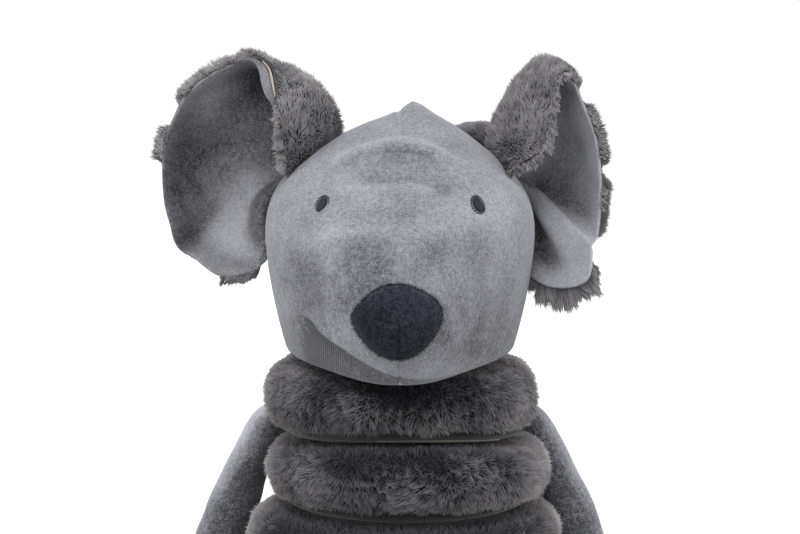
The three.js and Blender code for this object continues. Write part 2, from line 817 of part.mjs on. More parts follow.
// Tail: a tapered velour tube that lies on the floor behind and curls to the toy's left
function addTail() {
  const points = [];
  const steps = 5;
  const centreHeight = tailRoot - standingFlat;
  const bendRadius = tailLength / radians(tailBend);
  for (let i = 0; i <= steps; i++) {
    const share = i / steps;
    const turn = radians(tailBend * share);
    points.push(new THREE.Vector3(
      bendRadius * (1 - Math.cos(turn)),
      tailStart - tailRoot + bendRadius * Math.sin(turn),
      centreHeight + (tailTip - tailRoot) * smooth(share, 0, 1),
    ));
  }
  const limb = makeLimb(points.reverse(), [tailTip, tailTip, (tailTip + tailRoot) / 2, tailRoot, tailRoot],
    new THREE.Vector3(0, 0, 1));
  addPart('tail', standFlat(skin(limbRings(limb, 0, 0))), velour);
}
addTail();

export default toy;
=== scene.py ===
# %% [markdown]
# # A plush mouse toy for a dog
#
# The real toy is a stuffed velour head with big cupped ears, on a body of stacked fur rings, with
# soft velour arms, legs and a tail. The frame gives each piece its size and its place, as plain
# solids. This lesson dresses each of them: first the light and the helpers, then the velour head,
# the nose and the eyes, the ears, the fur rings, the limbs, and last what is inside.
# Shapes are worked out in millimetres and become metres when they are made into a mesh.

import bmesh
import bpy
import numpy as np
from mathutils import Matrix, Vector


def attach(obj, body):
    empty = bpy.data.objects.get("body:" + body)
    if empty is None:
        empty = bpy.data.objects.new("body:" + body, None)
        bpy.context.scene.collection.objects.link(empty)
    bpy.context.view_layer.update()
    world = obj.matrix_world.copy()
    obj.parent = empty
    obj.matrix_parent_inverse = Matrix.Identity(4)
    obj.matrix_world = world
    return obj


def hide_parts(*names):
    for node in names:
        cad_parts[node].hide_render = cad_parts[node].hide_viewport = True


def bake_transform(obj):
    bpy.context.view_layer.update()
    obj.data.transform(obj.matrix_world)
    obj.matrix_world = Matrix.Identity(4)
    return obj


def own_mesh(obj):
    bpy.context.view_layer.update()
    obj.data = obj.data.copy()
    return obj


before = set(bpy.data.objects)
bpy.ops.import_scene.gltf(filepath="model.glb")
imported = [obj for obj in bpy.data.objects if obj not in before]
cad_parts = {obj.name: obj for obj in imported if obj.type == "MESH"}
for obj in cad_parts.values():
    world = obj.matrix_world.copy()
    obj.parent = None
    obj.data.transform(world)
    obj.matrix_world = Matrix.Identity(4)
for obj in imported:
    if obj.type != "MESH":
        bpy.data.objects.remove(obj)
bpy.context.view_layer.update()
MM = 0.001
UP = np.array([0.0, 0.0, 1.0])
scene = bpy.context.scene

# %% [markdown]
# ## Camera, floor and light
#
# The camera stands a little above the toy's chin and looks slightly down, with a long lens, as a
# photographer would for a toy. The room is a white cyclorama: the toy is lit by broad soft lamps
# from above and from both sides, and everything behind it is white.

# %% Camera
CAMERA_DISTANCE = 944
CAMERA_RISE = np.radians(8)
CAMERA_AIM = np.array([0.0, 0.0, 231.0])
camera_data = bpy.data.cameras.new("camera")
camera_data.lens = 85
camera_data.sensor_width = 36
camera = bpy.data.objects.new("camera", camera_data)
scene.collection.objects.link(camera)
camera_back = np.array([0.0, -np.cos(CAMERA_RISE), np.sin(CAMERA_RISE)])
camera.location = Vector((CAMERA_AIM + camera_back * CAMERA_DISTANCE) * MM)
camera.rotation_euler = Vector(camera_back).to_track_quat("Z", "Y").to_euler()
scene.camera = camera
print("camera at", [round(v, 3) for v in camera.location])

# %% [markdown]
# Materials and the room are made of nodes. These helpers make a node in one call, mix values and
# colours, and turn a screen's grey into linear light.

# %% Helpers for nodes
def node(tree, kind, inputs=None, **settings):
    """Adds a node, sets its properties, and gives each input a value or a link from a socket."""
    made = tree.nodes.new(kind)
    for name, value in settings.items():
        setattr(made, name, value)
    for name, value in (inputs or {}).items():
        if isinstance(value, bpy.types.NodeSocket):
            tree.links.new(value, made.inputs[name])
        else:
            made.inputs[name].default_value = value
    return made


def maths(tree, operation, first, second=0.5, clamp=False):
    """One step of arithmetic on values or sockets."""
    made = node(tree, "ShaderNodeMath", {0: first, 1: second}, operation=operation, use_clamp=clamp)
    return made.outputs[0]


def blend_colours(tree, share, first, second, kind="MIX"):
    """Mixes two colours, or a colour and a value, by a share from 0 to 1."""
    mixed = node(tree, "ShaderNodeMix", {0: share, 6: first, 7: second}, data_type="RGBA", blend_type=kind)
    return mixed.outputs[2]


def own_place(tree):
    """Each point's place in the piece's own frame, in metres."""
    return node(tree, "ShaderNodeTexCoord").outputs["Object"]


def noise_at(tree, spot, scale, detail=2.0, distortion=0.0):
    """Smooth noise, about 0.5 on average, with about `scale` crests to the metre."""
    settings = {"Vector": spot, "Scale": scale, "Detail": detail, "Distortion": distortion}
    return node(tree, "ShaderNodeTexNoise", settings).outputs[0]


def finish(shader, **numbers):
    """Sets plain numbers on a shader. A socket's name has _ for each space."""
    for name, value in numbers.items():
        shader.inputs[name.replace("_", " ")].default_value = value


def new_material(name):
    """An empty node material with its Principled shader, as (material, tree, shader)."""
    made = bpy.data.materials.new(name)
    made.use_nodes = True
    made.node_tree.nodes.clear()
    shader = made.node_tree.nodes.new("ShaderNodeBsdfPrincipled")
    output = made.node_tree.nodes.new("ShaderNodeOutputMaterial")
    made.node_tree.links.new(shader.outputs[0], output.inputs[0])
    return made, made.node_tree, shader


def grey(level, tint=(1.0, 1.0, 1.0)):
    """A colour from a level on a screen, 0 to 255, turned to linear light, times a tint."""
    share = level / 255
    linear = share / 12.92 if share < 0.04 else ((share + 0.055) / 1.055) ** 2.4
    return (linear * tint[0], linear * tint[1], linear * tint[2], 1.0)


def coat(tree, shader, colour, height, strength, distance):
    """Gives a shader its colour, and a bump from a height, with its strength and depth in metres."""
    tree.links.new(colour, shader.inputs["Base Color"])
    bump = node(tree, "ShaderNodeBump", {"Height": height, "Strength": strength, "Distance": distance})
    tree.links.new(bump.outputs[0], shader.inputs["Normal"])


# %% World and floor
FLOOR_HALF = 14.0
world = bpy.data.worlds.new("white room")
scene.world = world
world.use_nodes = True
world.node_tree.nodes.clear()
seen = node(world.node_tree, "ShaderNodeLightPath")
direct = maths(world.node_tree, "MAXIMUM", seen.outputs["Is Camera Ray"], seen.outputs["Is Glossy Ray"])
direct = maths(world.node_tree, "MAXIMUM", direct, seen.outputs["Is Transmission Ray"])
ROOM_LIGHT = 0.55
room_strength = node(
    world.node_tree, "ShaderNodeMapRange", {"Value": direct, "To Min": ROOM_LIGHT, "To Max": 1.0}
)
room = node(
    world.node_tree, "ShaderNodeBackground", {"Color": (1, 1, 1, 1), "Strength": room_strength.outputs[0]}
)
node(world.node_tree, "ShaderNodeOutputWorld", {"Surface": room.outputs[0]})

floor_mesh = bpy.data.meshes.new("floor")
floor_corners = [(x * FLOOR_HALF, y * FLOOR_HALF, 0) for x, y in ((-1, -1), (1, -1), (1, 1), (-1, 1))]
floor_mesh.from_pydata(floor_corners, [], [(0, 1, 2, 3)])
floor = bpy.data.objects.new("floor", floor_mesh)
scene.collection.objects.link(floor)
floor_look = bpy.data.materials.new("floor")
floor_look.use_nodes = True
floor_tree = floor_look.node_tree
floor_tree.nodes.clear()
floor_seen = node(floor_tree, "ShaderNodeLightPath").outputs["Is Camera Ray"]
floor_cloth = node(floor_tree, "ShaderNodeBsdfDiffuse", {"Color": (0.5, 0.5, 0.5, 1)})
floor_glow = node(
    floor_tree, "ShaderNodeEmission", {"Strength": maths(floor_tree, "MULTIPLY", floor_seen, 0.75)}
)
floor_sum = node(floor_tree, "ShaderNodeAddShader", {0: floor_cloth.outputs[0], 1: floor_glow.outputs[0]})
node(floor_tree, "ShaderNodeOutputMaterial", {"Surface": floor_sum.outputs[0]})
floor_mesh.materials.append(floor_look)


# %% Lamps
def soft_lamp(name, place, aim, size, power):
    """A square lamp at a place, turned towards a point. Its size in metres, its power in watts."""
    data = bpy.data.lights.new(name, "AREA")
    data.size = size
    data.energy = power
    lamp = bpy.data.objects.new(name, data)
    lamp.location = Vector(place)
    lamp.rotation_euler = (Vector(place) - Vector(aim)).to_track_quat("Z", "Y").to_euler()
    scene.collection.objects.link(lamp)


soft_lamp("key", (-0.25, -1.2, 1.7), (0, 0, 0.22), 0.9, 22)
soft_lamp("side left", (-1.3, -0.15, 0.6), (0, 0, 0.2), 0.9, 8)
soft_lamp("side right", (1.3, -0.15, 0.6), (0, 0, 0.2), 0.9, 9)
soft_lamp("back", (0.1, 1.5, 1.2), (0, 0, 0.2), 1.3, 13)

# %% [markdown]
# ## Shapes as arrays
#
# A cloth surface is a grid of points, each worked out from two numbers, such as how far round and
# how high. numpy works out the whole grid at once. The faces join neighbours in the grid, the
# doubled points at poles and seams are merged, and Solidify gives a single layer its thickness.


# %% Helpers for meshes
def step(value, low, high):
    """A smooth rise from 0 at low to 1 at high, with no kink at either end."""
    share = np.clip((value - low) / (high - low), 0, 1)
    return share * share * (3 - 2 * share)


def bell(value, width):
    """1 where the value is 0, falling off smoothly on both sides within about the width."""
    return np.exp(-((value / width) ** 2))


def unit(vectors, least=0.0):
    """The same directions, each one long. least keeps a length of 0 from dividing by 0."""
    return vectors / np.maximum(np.linalg.norm(vectors, axis=-1, keepdims=True), least)


def grid_faces(rows, columns, round_rows=False, round_columns=False):
    """Four-sided faces between neighbouring points of a grid, closed where it goes round."""
    i, j = np.meshgrid(
        np.arange(rows - (not round_rows)), np.arange(columns - (not round_columns)), indexing="ij"
    )
    below, right = (i + 1) % rows, (j + 1) % columns
    quads = [i * columns + j, below * columns + j, below * columns + right, i * columns + right]
    return np.stack(quads, -1).reshape(-1, 4)


def store(mesh, values):
    """Keeps numbers on a mesh by name, one for each point or one for all."""
    for key, value in (values or {}).items():
        numbers = np.broadcast_to(np.asarray(value, np.float32).ravel(), len(mesh.vertices))
        mesh.attributes.new(key, "FLOAT", "POINT").data.foreach_set("value", np.ascontiguousarray(numbers))


def make_piece(name, points, faces, look, values=None, map_places=None):
    """A mesh object from whole arrays, in millimetres. values are numbers per point that materials
    read by name, and map_places are two numbers per point for the piece's own map."""
    mesh = bpy.data.meshes.new(name)
    points = np.asarray(points, float).reshape(-1, 3)
    faces = np.asarray(faces, np.int32)
    mesh.vertices.add(len(points))
    mesh.vertices.foreach_set("co", (points * MM).astype(np.float32).ravel())
    mesh.loops.add(faces.size)
    mesh.loops.foreach_set("vertex_index", faces.ravel())
    mesh.polygons.add(len(faces))
    starts = np.arange(0, faces.size, faces.shape[1], dtype=np.int32)
    mesh.polygons.foreach_set("loop_start", starts)
    mesh.polygons.foreach_set("use_smooth", np.ones(len(faces), bool))
    mesh.update(calc_edges=True)
    store(mesh, values)
    if map_places is not None:
        layer = mesh.uv_layers.new(name="strand")
        layer.uv.foreach_set("vector", np.asarray(map_places, np.float32)[faces.ravel()].ravel())
    mesh.materials.append(look)
    piece = bpy.data.objects.new(name, mesh)
    scene.collection.objects.link(piece)
    return piece


def weld(piece, outward=True):
    """Merges doubled points at poles and seams, drops what that flattens, and turns faces outwards."""
    work = bmesh.new()
    work.from_mesh(piece.data)
    bmesh.ops.remove_doubles(work, verts=work.verts, dist=2e-6)
    bmesh.ops.dissolve_degenerate(work, edges=work.edges, dist=1e-7)
    if outward:
        bmesh.ops.recalc_face_normals(work, faces=work.faces)
    work.to_mesh(piece.data)
    work.free()
    return piece


def sheet_piece(name, grid, look, values=None, round_rows=False, round_columns=False):
    """A welded piece whose points are a grid, closed where it goes round."""
    faces = grid_faces(*grid.shape[:2], round_rows, round_columns)
    return weld(make_piece(name, grid, faces, look, values))


def thicken(piece, thickness):
    """A live Solidify that grows the cloth inwards from the surface that was worked out."""
    solid = piece.modifiers.new("thickness", "SOLIDIFY")
    solid.thickness = thickness * MM
    solid.offset = -1
    return piece


def cloth_area(piece, sides=1):
    """The area of a piece's cloth in square metres. A mesh that shows both faces counts half."""
    return sum(polygon.area for polygon in piece.data.polygons) / sides


def grid_normals(grid, flip=1.0, closed_rows=False, closed_columns=False):
    """The direction square to the surface at each point of a grid, from its neighbours."""
    def along(axis, closed):
        if closed:
            return np.roll(grid, -1, axis) - np.roll(grid, 1, axis)
        return np.gradient(grid, axis=axis)

    across = np.cross(along(0, closed_rows), along(1, closed_columns))
    return flip * unit(across, 1e-9)


def place(piece, body, node_name, slot, fill=None):
    """Puts a piece on its body in place of the plain solid. slot and fill are not used."""
    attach(piece, body)
    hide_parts(node_name)
    return piece


# %% Uneven numbers for cloth
WAVE_COUNT = 20


def random_waves(size, seed):
    """Waves in random directions, about `size` millimetres long, and a random start for each."""
    rng = np.random.default_rng(seed)
    ways = rng.normal(size=(WAVE_COUNT, 3))
    ways *= (2 * np.pi / size * rng.uniform(0.7, 1.4, WAVE_COUNT) / np.linalg.norm(ways, axis=1))[:, None]
    return ways, rng.uniform(0, 2 * np.pi, WAVE_COUNT)


def waves(points, size, seed):
    """A smooth uneven field: a sum of sine waves in random directions, about `size` millimetres
    from one crest to the next, with values of about -1 to 1."""
    ways, starts = random_waves(size, seed)
    return np.sin(points @ ways.T + starts).sum(-1) * np.sqrt(1 / WAVE_COUNT)


def wave_pull(points, size, seed):
    """The direction in which that same field rises, times its size, so about 1 long where steep."""
    ways, starts = random_waves(size, seed)
    return np.cos(points @ ways.T + starts) @ ways * np.sqrt(1 / WAVE_COUNT) * size / (2 * np.pi)


def line_distance(x, z, line):
    """How far each point (x, z) is from a line of joined straight stretches."""
    best = np.full(np.shape(x), 1e9)
    for (x0, z0), (x1, z1) in zip(line[:-1], line[1:]):
        run, rise = x1 - x0, z1 - z0
        along = np.clip(((x - x0) * run + (z - z0) * rise) / (run**2 + rise**2), 0, 1)
        best = np.minimum(best, np.hypot(x - x0 - along * run, z - z0 - along * rise))
    return best


# %% [markdown]
# ## Velour
#
# Velour is a knit whose cut pile stands about a millimetre high. Brushed one way it looks light,
# brushed the other way dark, so plain grey velour is mottled, with a fine grain. One group makes
# that: it mixes a dark and a light grey by a number that each piece carries in its points, which
# holds the brushing of the pile and also painted shade and highlight, disturbed by noise at three
# sizes. The same noise gives the bump its height.

# %% Velour group
def velour_group():
    """Nap with painted shade and highlight, and noise, to a colour and a height. Noise at 0.7 mm is
    the grain, at 2 mm the tufts, and at 16 mm the patches where a hand has brushed the pile."""
    group = bpy.data.node_groups.new("brushed pile", "ShaderNodeTree")
    kinds = {"Dark": "Color", "Light": "Color", "Nap_and_shade": "Float", "Grain": "Float", "Patches": "Float"}
    for name, kind in kinds.items():
        group.interface.new_socket(name, in_out="INPUT", socket_type="NodeSocket" + kind)
    for name, kind in (("Color", "Color"), ("Height", "Float")):
        group.interface.new_socket(name, in_out="OUTPUT", socket_type="NodeSocket" + kind)
    given = group.nodes.new("NodeGroupInput").outputs
    taken = group.nodes.new("NodeGroupOutput").inputs
    here = own_place(group)

    def noise(scale, detail):
        return maths(group, "SUBTRACT", noise_at(group, here, scale, detail), 0.5)

    fine, tufts, patches = noise(1500.0, 2.0), noise(480.0, 1.0), noise(62.0, 2.0)
    grain = maths(group, "ADD", fine, maths(group, "MULTIPLY", tufts, 0.45))
    grain = maths(group, "MULTIPLY", grain, given["Grain"])
    patch = maths(group, "MULTIPLY", patches, given["Patches"])
    share = maths(group, "ADD", given["Nap_and_shade"], maths(group, "ADD", grain, patch), clamp=True)
    group.links.new(blend_colours(group, share, given["Dark"], given["Light"]), taken["Color"])
    height = maths(group, "ADD", maths(group, "MULTIPLY", fine, 0.6), maths(group, "MULTIPLY", tufts, 0.8))
    group.links.new(height, taken["Height"])
    return group


pile_group = velour_group()
# The ribs of the chin's knit, in metres from one to the next, and the grey between them
RIB_PITCH, RIB_GREY = 0.00105, grey(60)


def velour(name, dark, light, grain=1.2, patches=0.35, sheen=0.35, ribs=False):
    """A velour finish between two greys. With ribs, the pile thins out over a ribbed knit where
    the piece's "rib" number is 1."""
    made, tree, shader = new_material(name)
    # The number read here holds the pile's brushing and the painted shade and highlight of each piece
    nap_and_shade = node(tree, "ShaderNodeAttribute", attribute_name="nap_and_shade").outputs["Fac"]
    cloth = node(tree, "ShaderNodeGroup", node_tree=pile_group)
    for key, value in (("Dark", dark), ("Light", light), ("Grain", grain), ("Patches", patches)):
        cloth.inputs[key].default_value = value
    tree.links.new(nap_and_shade, cloth.inputs["Nap_and_shade"])
    colour, height = cloth.outputs["Color"], cloth.outputs["Height"]
    if ribs:
        rib = node(tree, "ShaderNodeAttribute", attribute_name="rib").outputs["Fac"]
        across = node(tree, "ShaderNodeSeparateXYZ", {0: own_place(tree)})
        wale = maths(tree, "SINE", maths(tree, "MULTIPLY", across.outputs["X"], 2 * np.pi / RIB_PITCH))
        wale = maths(tree, "MULTIPLY", maths(tree, "MULTIPLY", wale, rib), 0.5)
        height = maths(tree, "ADD", height, wale)
        shade = maths(tree, "MULTIPLY", maths(tree, "ADD", wale, 0.5), rib)
        colour = blend_colours(tree, maths(tree, "MULTIPLY", shade, 0.3), colour, RIB_GREY)
    coat(tree, shader, colour, height, 0.35, 0.0005)
    finish(
        shader, Roughness=0.95, Specular_IOR_Level=0.15,
        Sheen_Weight=sheen, Sheen_Roughness=0.45, Sheen_Tint=(0.86, 0.87, 0.92, 1),
    )
    return made


VELOUR_DARK = grey(72, (0.98, 0.98, 1.13))
VELOUR_LIGHT = grey(172, (0.98, 0.985, 1.085))
EAR_DARK, EAR_LIGHT = grey(50, (1.0, 0.97, 1.12)), grey(178, (0.98, 0.985, 1.07))
# The limbs' velour has a darker dark grey than the head's: partly painted shade, as the limbs are lit less,
# and partly their nap
LIMB_DARK = grey(62, (0.98, 0.98, 1.14))
NOSE_DARK, NOSE_LIGHT = grey(18, (0.85, 0.95, 1.4)), grey(72, (0.85, 0.95, 1.35))
head_velour = velour("velour of the head", VELOUR_DARK, VELOUR_LIGHT, ribs=True)
ear_velour = velour("velour of the ears", EAR_DARK, EAR_LIGHT, grain=0.8, patches=0.16, sheen=0.22)
limb_velour = velour("velour of the limbs", LIMB_DARK, VELOUR_LIGHT, patches=0.25, sheen=0.4)
nose_velour = velour("velour of the nose", NOSE_DARK, NOSE_LIGHT, grain=2.0, patches=0.8, sheen=0.15)
print("velours:", [m.name for m in bpy.data.materials if m.name.startswith("velour")])

# %% [markdown]
# ## Head
#
# The head is a pear-shaped bag of velour: a face panel that runs from the chin over a sewn peak to
# the side seams, and a back panel. Its outline is one formula: how wide it is at each height, an
# oval round it, and a broad snout pushed forward. Wrinkles, darts and seams are small pushes
# inwards and outwards added to that formula, so the cloth stays one continuous surface.

# %% Head formula
HEAD_BASE = 188.3
HEAD_HEIGHT, HEAD_HALF, HEAD_FRONT, HEAD_BACK = 124, 67, 64, 56
WIDEST, BASE_SHARE, EDGE = 0.48, 0.83, 6
CROWN_POWER, CHEEK_POWER, SNOUT_POWER = 2.4, 1.6, 2.5
SNOUT_REACH, SNOUT_HEIGHT, SNOUT_HALF, SNOUT_ABOVE, SNOUT_BELOW = 35, 28, 42, 46, 34
CHIN_DROOP, DROOP_START, DROOP_REACH = 11, 50, 45
CROWN_LEAN, LEAN_FROM = 6, 0.8
HEAD_SEAM = 9
HEAD_TILT = np.radians(8.6)
VELOUR_WALL = 1.8


def head_width(up):
    """Share of the full width at a height: widest just below the middle, drawn in to the base and
    rounded up to the peak."""
    above = 1 - np.clip((up - WIDEST) / (1 - WIDEST), 0, 1) ** CROWN_POWER
    below = BASE_SHARE + (1 - BASE_SHARE) * (1 - (1 - np.clip(up / WIDEST, 0, 1)) ** CHEEK_POWER)
    return np.where(up > WIDEST, above, below)


def head_point(around, up, inset=0.0):
    """A point of the head. around is the angle from straight ahead towards +X, and up goes from 0 at
    the base to 1 at the peak. An oval of the width at that height, plus a snout that falls off as
    a bell, plus a chin that hangs lower the further it stands out."""
    height = inset + up * (HEAD_HEIGHT - 2 * inset)
    corner = np.clip(1 - height / EDGE, 0, None)
    edge = EDGE * (1 - np.sqrt(np.clip(1 - corner**2, 0, None)))
    width = head_width(up)
    side = np.clip((HEAD_HALF - inset) * width - edge, 0, None)
    ahead = np.cos(around)
    depth = np.clip((np.where(ahead > 0, HEAD_FRONT, HEAD_BACK) - inset) * width - edge, 0, None)
    x = side * np.sin(around)
    rise = height - SNOUT_HEIGHT
    far = np.hypot(x / SNOUT_HALF, rise / np.where(rise > 0, SNOUT_ABOVE, SNOUT_BELOW))
    snout = SNOUT_REACH * np.exp(-(far**SNOUT_POWER))
    snout = snout * np.sqrt(np.clip(ahead, 0, None)) * step(ahead, 0, 0.25)
    y = -depth * ahead - snout
    past = np.clip((np.hypot(x, y) - DROOP_START) / DROOP_REACH, 0, 1)
    droop = np.where(y < 0, CHIN_DROOP * past * np.clip(1 - up / WIDEST, 0, None) ** 2, 0)
    lean = CROWN_LEAN * step(up, LEAN_FROM, 1)
    return np.stack([x + lean, y, HEAD_BASE + height - droop + 0 * x], -1)


def inside_head(points):
    """Below 0 inside the head and above 0 outside it, about in millimetres, beside the snout."""
    up = np.clip((points[..., 2] - HEAD_BASE) / HEAD_HEIGHT, 0, 1)
    width = np.maximum(head_width(up), 0.02)
    depth = np.where(points[..., 1] < 0, HEAD_FRONT, HEAD_BACK) * width
    x = points[..., 0] - CROWN_LEAN * step(up, LEAN_FROM, 1)
    level = np.hypot(x / (HEAD_HALF * width), points[..., 1] / depth)
    beyond = np.maximum(HEAD_BASE - points[..., 2], points[..., 2] - HEAD_BASE - HEAD_HEIGHT)
    return np.maximum((level - 1) * HEAD_HALF * width, beyond)


print("head", 2 * HEAD_HALF, "mm wide and", HEAD_HEIGHT, "mm high")

# %% [markdown]
# The cloth pulls where it is sewn. A dart runs from the peak down the forehead and ends in a
# curved wrinkle, softer arcs lie below it, and under the left cheek the pile parts along a fold
# above the ribbed chin band. Each is a line on the face with a bell-shaped dent or ridge across it.
# Along most of them shade is painted into the dent and a highlight onto the ridge, and the fold
# has painted shade below it.

# %% Wrinkles of the face
# Lines as (x, height above the head's base) in millimetres
CROWN_DART = [(-1, 122), (-0.5, 114), (-0.5, 108.5)]
DART_END = [
    (-31, 98), (-26, 101.5), (-19, 104), (-10, 106.3), (-0.5, 108.4), (9.5, 107.2), (17, 104.2), (26, 99),
]
UNDER_DART = [(-6, 104.3), (3, 104.2), (14, 102)]
# Each arc: its line, the height of its ridge or dent, its width, and its painted shade, lighter on a ridge
# and darker in a dent
BROW_ARCS = (
    ([(-26, 91.8), (-14, 94.8), (0, 95.8), (14, 95.2), (26, 92.2)], 0.35, 3.0, 0.02),
    ([(-16, 90.2), (-5, 91), (6, 91.2), (13, 90.6), (22, 86.6)], -0.5, 2.2, -0.16),
    ([(-30, 86), (-17, 88), (-5, 88.8), (6, 88.6), (14, 86.5)], 0.45, 2.2, 0.08),
    ([(-40, 76), (-30, 79), (-17, 81), (-4, 81)], 0.3, 2.6, 0.06),
    ([(-38, 63), (-28, 67), (-17, 69.5), (-6, 70)], 0.5, 3.0, 0.1),
    ([(9, 74), (14, 71), (20, 69.5)], 0.4, 1.6, 0.12), ([(12, 72.5), (18, 69)], -0.4, 1.4, -0.08),
)
ARC_HEIGHT = 1.9
CHIN_FOLD = [
    (-52, 30), (-48.2, 27.2), (-41.3, 24.4), (-38.6, 20.3), (-33, 17.2), (-27.3, 14.6), (-20.5, 11.2),
    (-13.9, 8.0), (-7, 5.0), (-0.7, 2.8), (12.7, 0.4), (21.6, 0.2), (36, 0.6), (53, 2.4), (62, 4),
]
CHIN_SEAM = [(0, 13), (0, 6), (0, -9)]
# Lighter and darker patches: partly where a hand has brushed the pile, partly painted shade where the face
# turns down or away from the light and painted highlight where it faces it. Each: place, half width, half
# height, and the change of its nap
SHADE_AND_NAP_PATCHES = (
    (-10.7, 98.6, 12, 6, -0.16), (3, 100, 20, 5, -0.12), (14, 97, 12, 5, -0.08), (21.7, 87, 9, 3.5, -0.14),
    (2.8, 79.5, 8, 6, -0.12), (-13, 59, 8.5, 12, -0.3), (-25, 60.5, 8, 7, -0.14), (-21, 46, 7, 9, -0.16),
    (16.7, 60.6, 9, 7, -0.18), (-32, 40, 12, 10, -0.1), (9, 56, 8, 6, -0.12), (34.9, 60, 9, 10, -0.2),
    (-44, 50, 11, 8, -0.18), (-46, 37, 11, 14, -0.22), (40, 27, 12, 14, -0.16), (20, 26, 3.2, 8, -0.22),
    (25, 44, 8, 10, -0.1), (-17, 69, 16, 3.5, 0.1), (12, 72, 8, 3, 0.08), (-37, 66, 12, 8, 0.12),
    (32, 73, 14, 8, 0.12), (-32.6, 51, 6, 10, 0.12), (23, 52, 6, 9, 0.12), (-25, 88, 14, 5, 0.08),
    (0, 52, 8, 5, 0.06), (47, 82, 12, 16, 0.12), (-50, 88, 10, 12, 0.06), (-46, 74, 9, 10, -0.08),
    (0, 6, 18, 7, 0.34), (-24, 24, 9, 8, 0.1), (26, 14, 16, 8, -0.12), (48, 12, 14, 14, -0.16),
    (-46, 12, 14, 9, -0.26), (-30, 32, 8, 10, -0.08),
)


def face_details(points):
    """How far the cloth is pushed out, its nap and painted shade, and where the ribs show, for points of the
    face.
    """
    x, z = points[..., 0], points[..., 2] - HEAD_BASE
    front = step(-points[..., 1], 0, 12)
    dart, under_dart = line_distance(x, z, CROWN_DART), line_distance(x, z, UNDER_DART)
    ridge = bell(line_distance(x, z, DART_END), 1.8)
    hollow = 0.8 * bell(line_distance(x, z + 3.2, DART_END), 1.8) * bell(x, 22)
    push = -1.0 * bell(dart, 0.9) + 1.1 * ridge - hollow - 0.5 * bell(under_dart, 1.5)
    # Painted highlight on the ridge at the dart's end, painted shade in the dent under it
    nap_and_shade = 0.53 + 0.3 * bell(dart, 0.6) + 0.17 * ridge - 0.24 * bell(under_dart, 1.9)
    for line, height, width, shade in BROW_ARCS:
        near = bell(line_distance(x, z, line), width)
        push = push + ARC_HEIGHT * height * near
        nap_and_shade = nap_and_shade + shade * near
    ragged = 0.12 * waves(points, 6, 71) + 0.12 * waves(points, 15, 72)
    for px, pz, wide, high, amount in SHADE_AND_NAP_PATCHES:
        far = np.hypot((x - px) / wide, (z - pz) / high) + ragged
        nap_and_shade = nap_and_shade + 0.95 * amount * (1 - step(far, 0.0, 1.9))
    # Painted shade: the lower face is darker, as the light falls from above
    nap_and_shade = nap_and_shade - 0.1 * step(60 - z, 0, 50) - 0.12 * bell(z - 46, 17) * bell(x, 46)
    fold, chin_seam = line_distance(x, z, CHIN_FOLD), line_distance(x, z, CHIN_SEAM)
    fold_z = np.interp(x, *np.transpose(CHIN_FOLD))
    below = step(fold_z - z, -1.6, 1.8) * step(x, -50, -42)
    left = 1 - step(x, -6, 16)
    push = push - (0.4 + 1.3 * left) * below * bell(fold, 8.0)
    push = push + 0.5 * bell(fold - 1.5, 2.6) * (1 - below) * left
    # Painted shade below the fold and in its crease, deepest on the left where the fold overhangs
    nap_and_shade = nap_and_shade - below * (0.02 + 0.33 * left) - 0.2 * bell(fold, 1.8) * below
    push = push - 0.9 * bell(chin_seam, 0.8)
    nap_and_shade = nap_and_shade + 0.18 * bell(chin_seam, 0.6) * step(9 - z, 0, 3)
    return push * front, nap_and_shade, below * step(22 - z, 0, 6) * step(x, -44, -34) * front


def crown(x, z):
    """The sewn peak: the cloth is nipped at the dart and stands up in a bump beside it."""
    high = step(z - HEAD_BASE, 112, 122)
    return high * (1.7 * bell(x - 9, 6.5) - 1.2 * bell(x + 0.5, 1.6) - 0.7 * bell(x + 9, 7))


# %% [markdown]
# Both panels are grids on that formula. The face runs from side seam to side seam, the back fills
# the rest, and under the head both turn inwards to the neck. Both dip where they are sewn.

# %% Face and back panels
FACE_COLUMNS, FACE_ROWS, UNDER_ROWS, BACK_COLUMNS = 225, 164, 22, 101
UNDER_INNER, SEAM_DIP, SEAM_WIDTH = 0.34, 1.0, 2.4
# Ahead of the middle the tilt doesn't hold the cloth up, so there it may hang this much lower
CHIN_DEEP = 60
# How many millimetres half a panel's width counts for, where the way to its seam is measured
FACE_REACH, BACK_REACH = 200, 90


def seam_angle(up):
    """The angle at which the side seam lies at a height: where the oval is HEAD_SEAM behind the
    middle, or straight back above that."""
    depth = HEAD_BACK * head_width(up)
    return np.pi - np.arccos(np.clip(HEAD_SEAM / np.maximum(depth, HEAD_SEAM), 0, 1))


def head_sheet(rows_up, across, half):
    """A panel of the head: rows down its side, then rows inwards under it towards the neck. half is
    the face with its middle ahead, or the back with its middle behind."""
    seam = seam_angle(rows_up)
    around = across[None, :] * seam[:, None]
    if half == "back":
        around = seam[:, None] + (across[None, :] + 1) / 2 * (2 * np.pi - 2 * seam[:, None])
    side = head_point(around, rows_up[:, None])
    shares = np.linspace(1, UNDER_INNER, UNDER_ROWS)[1:, None, None]
    under = side[-1] * np.array([1, 1, 0]) * shares
    past = np.clip((np.hypot(under[..., 0], under[..., 1]) - DROOP_START) / DROOP_REACH, 0, 1)
    under[..., 2] = HEAD_BASE - np.where(under[..., 1] < 0, CHIN_DROOP * past, 0)
    under[..., 2] += np.clip(under[..., 1], 0, None) * np.tan(HEAD_TILT)
    tilted = HEAD_BASE + np.clip(side[..., 1], 0, None) * np.tan(HEAD_TILT)
    side[..., 2] = np.maximum(side[..., 2], tilted - CHIN_DEEP * (side[..., 1] < 0))
    side[..., 2] += crown(side[..., 0], side[..., 2])
    return np.concatenate([side, under])


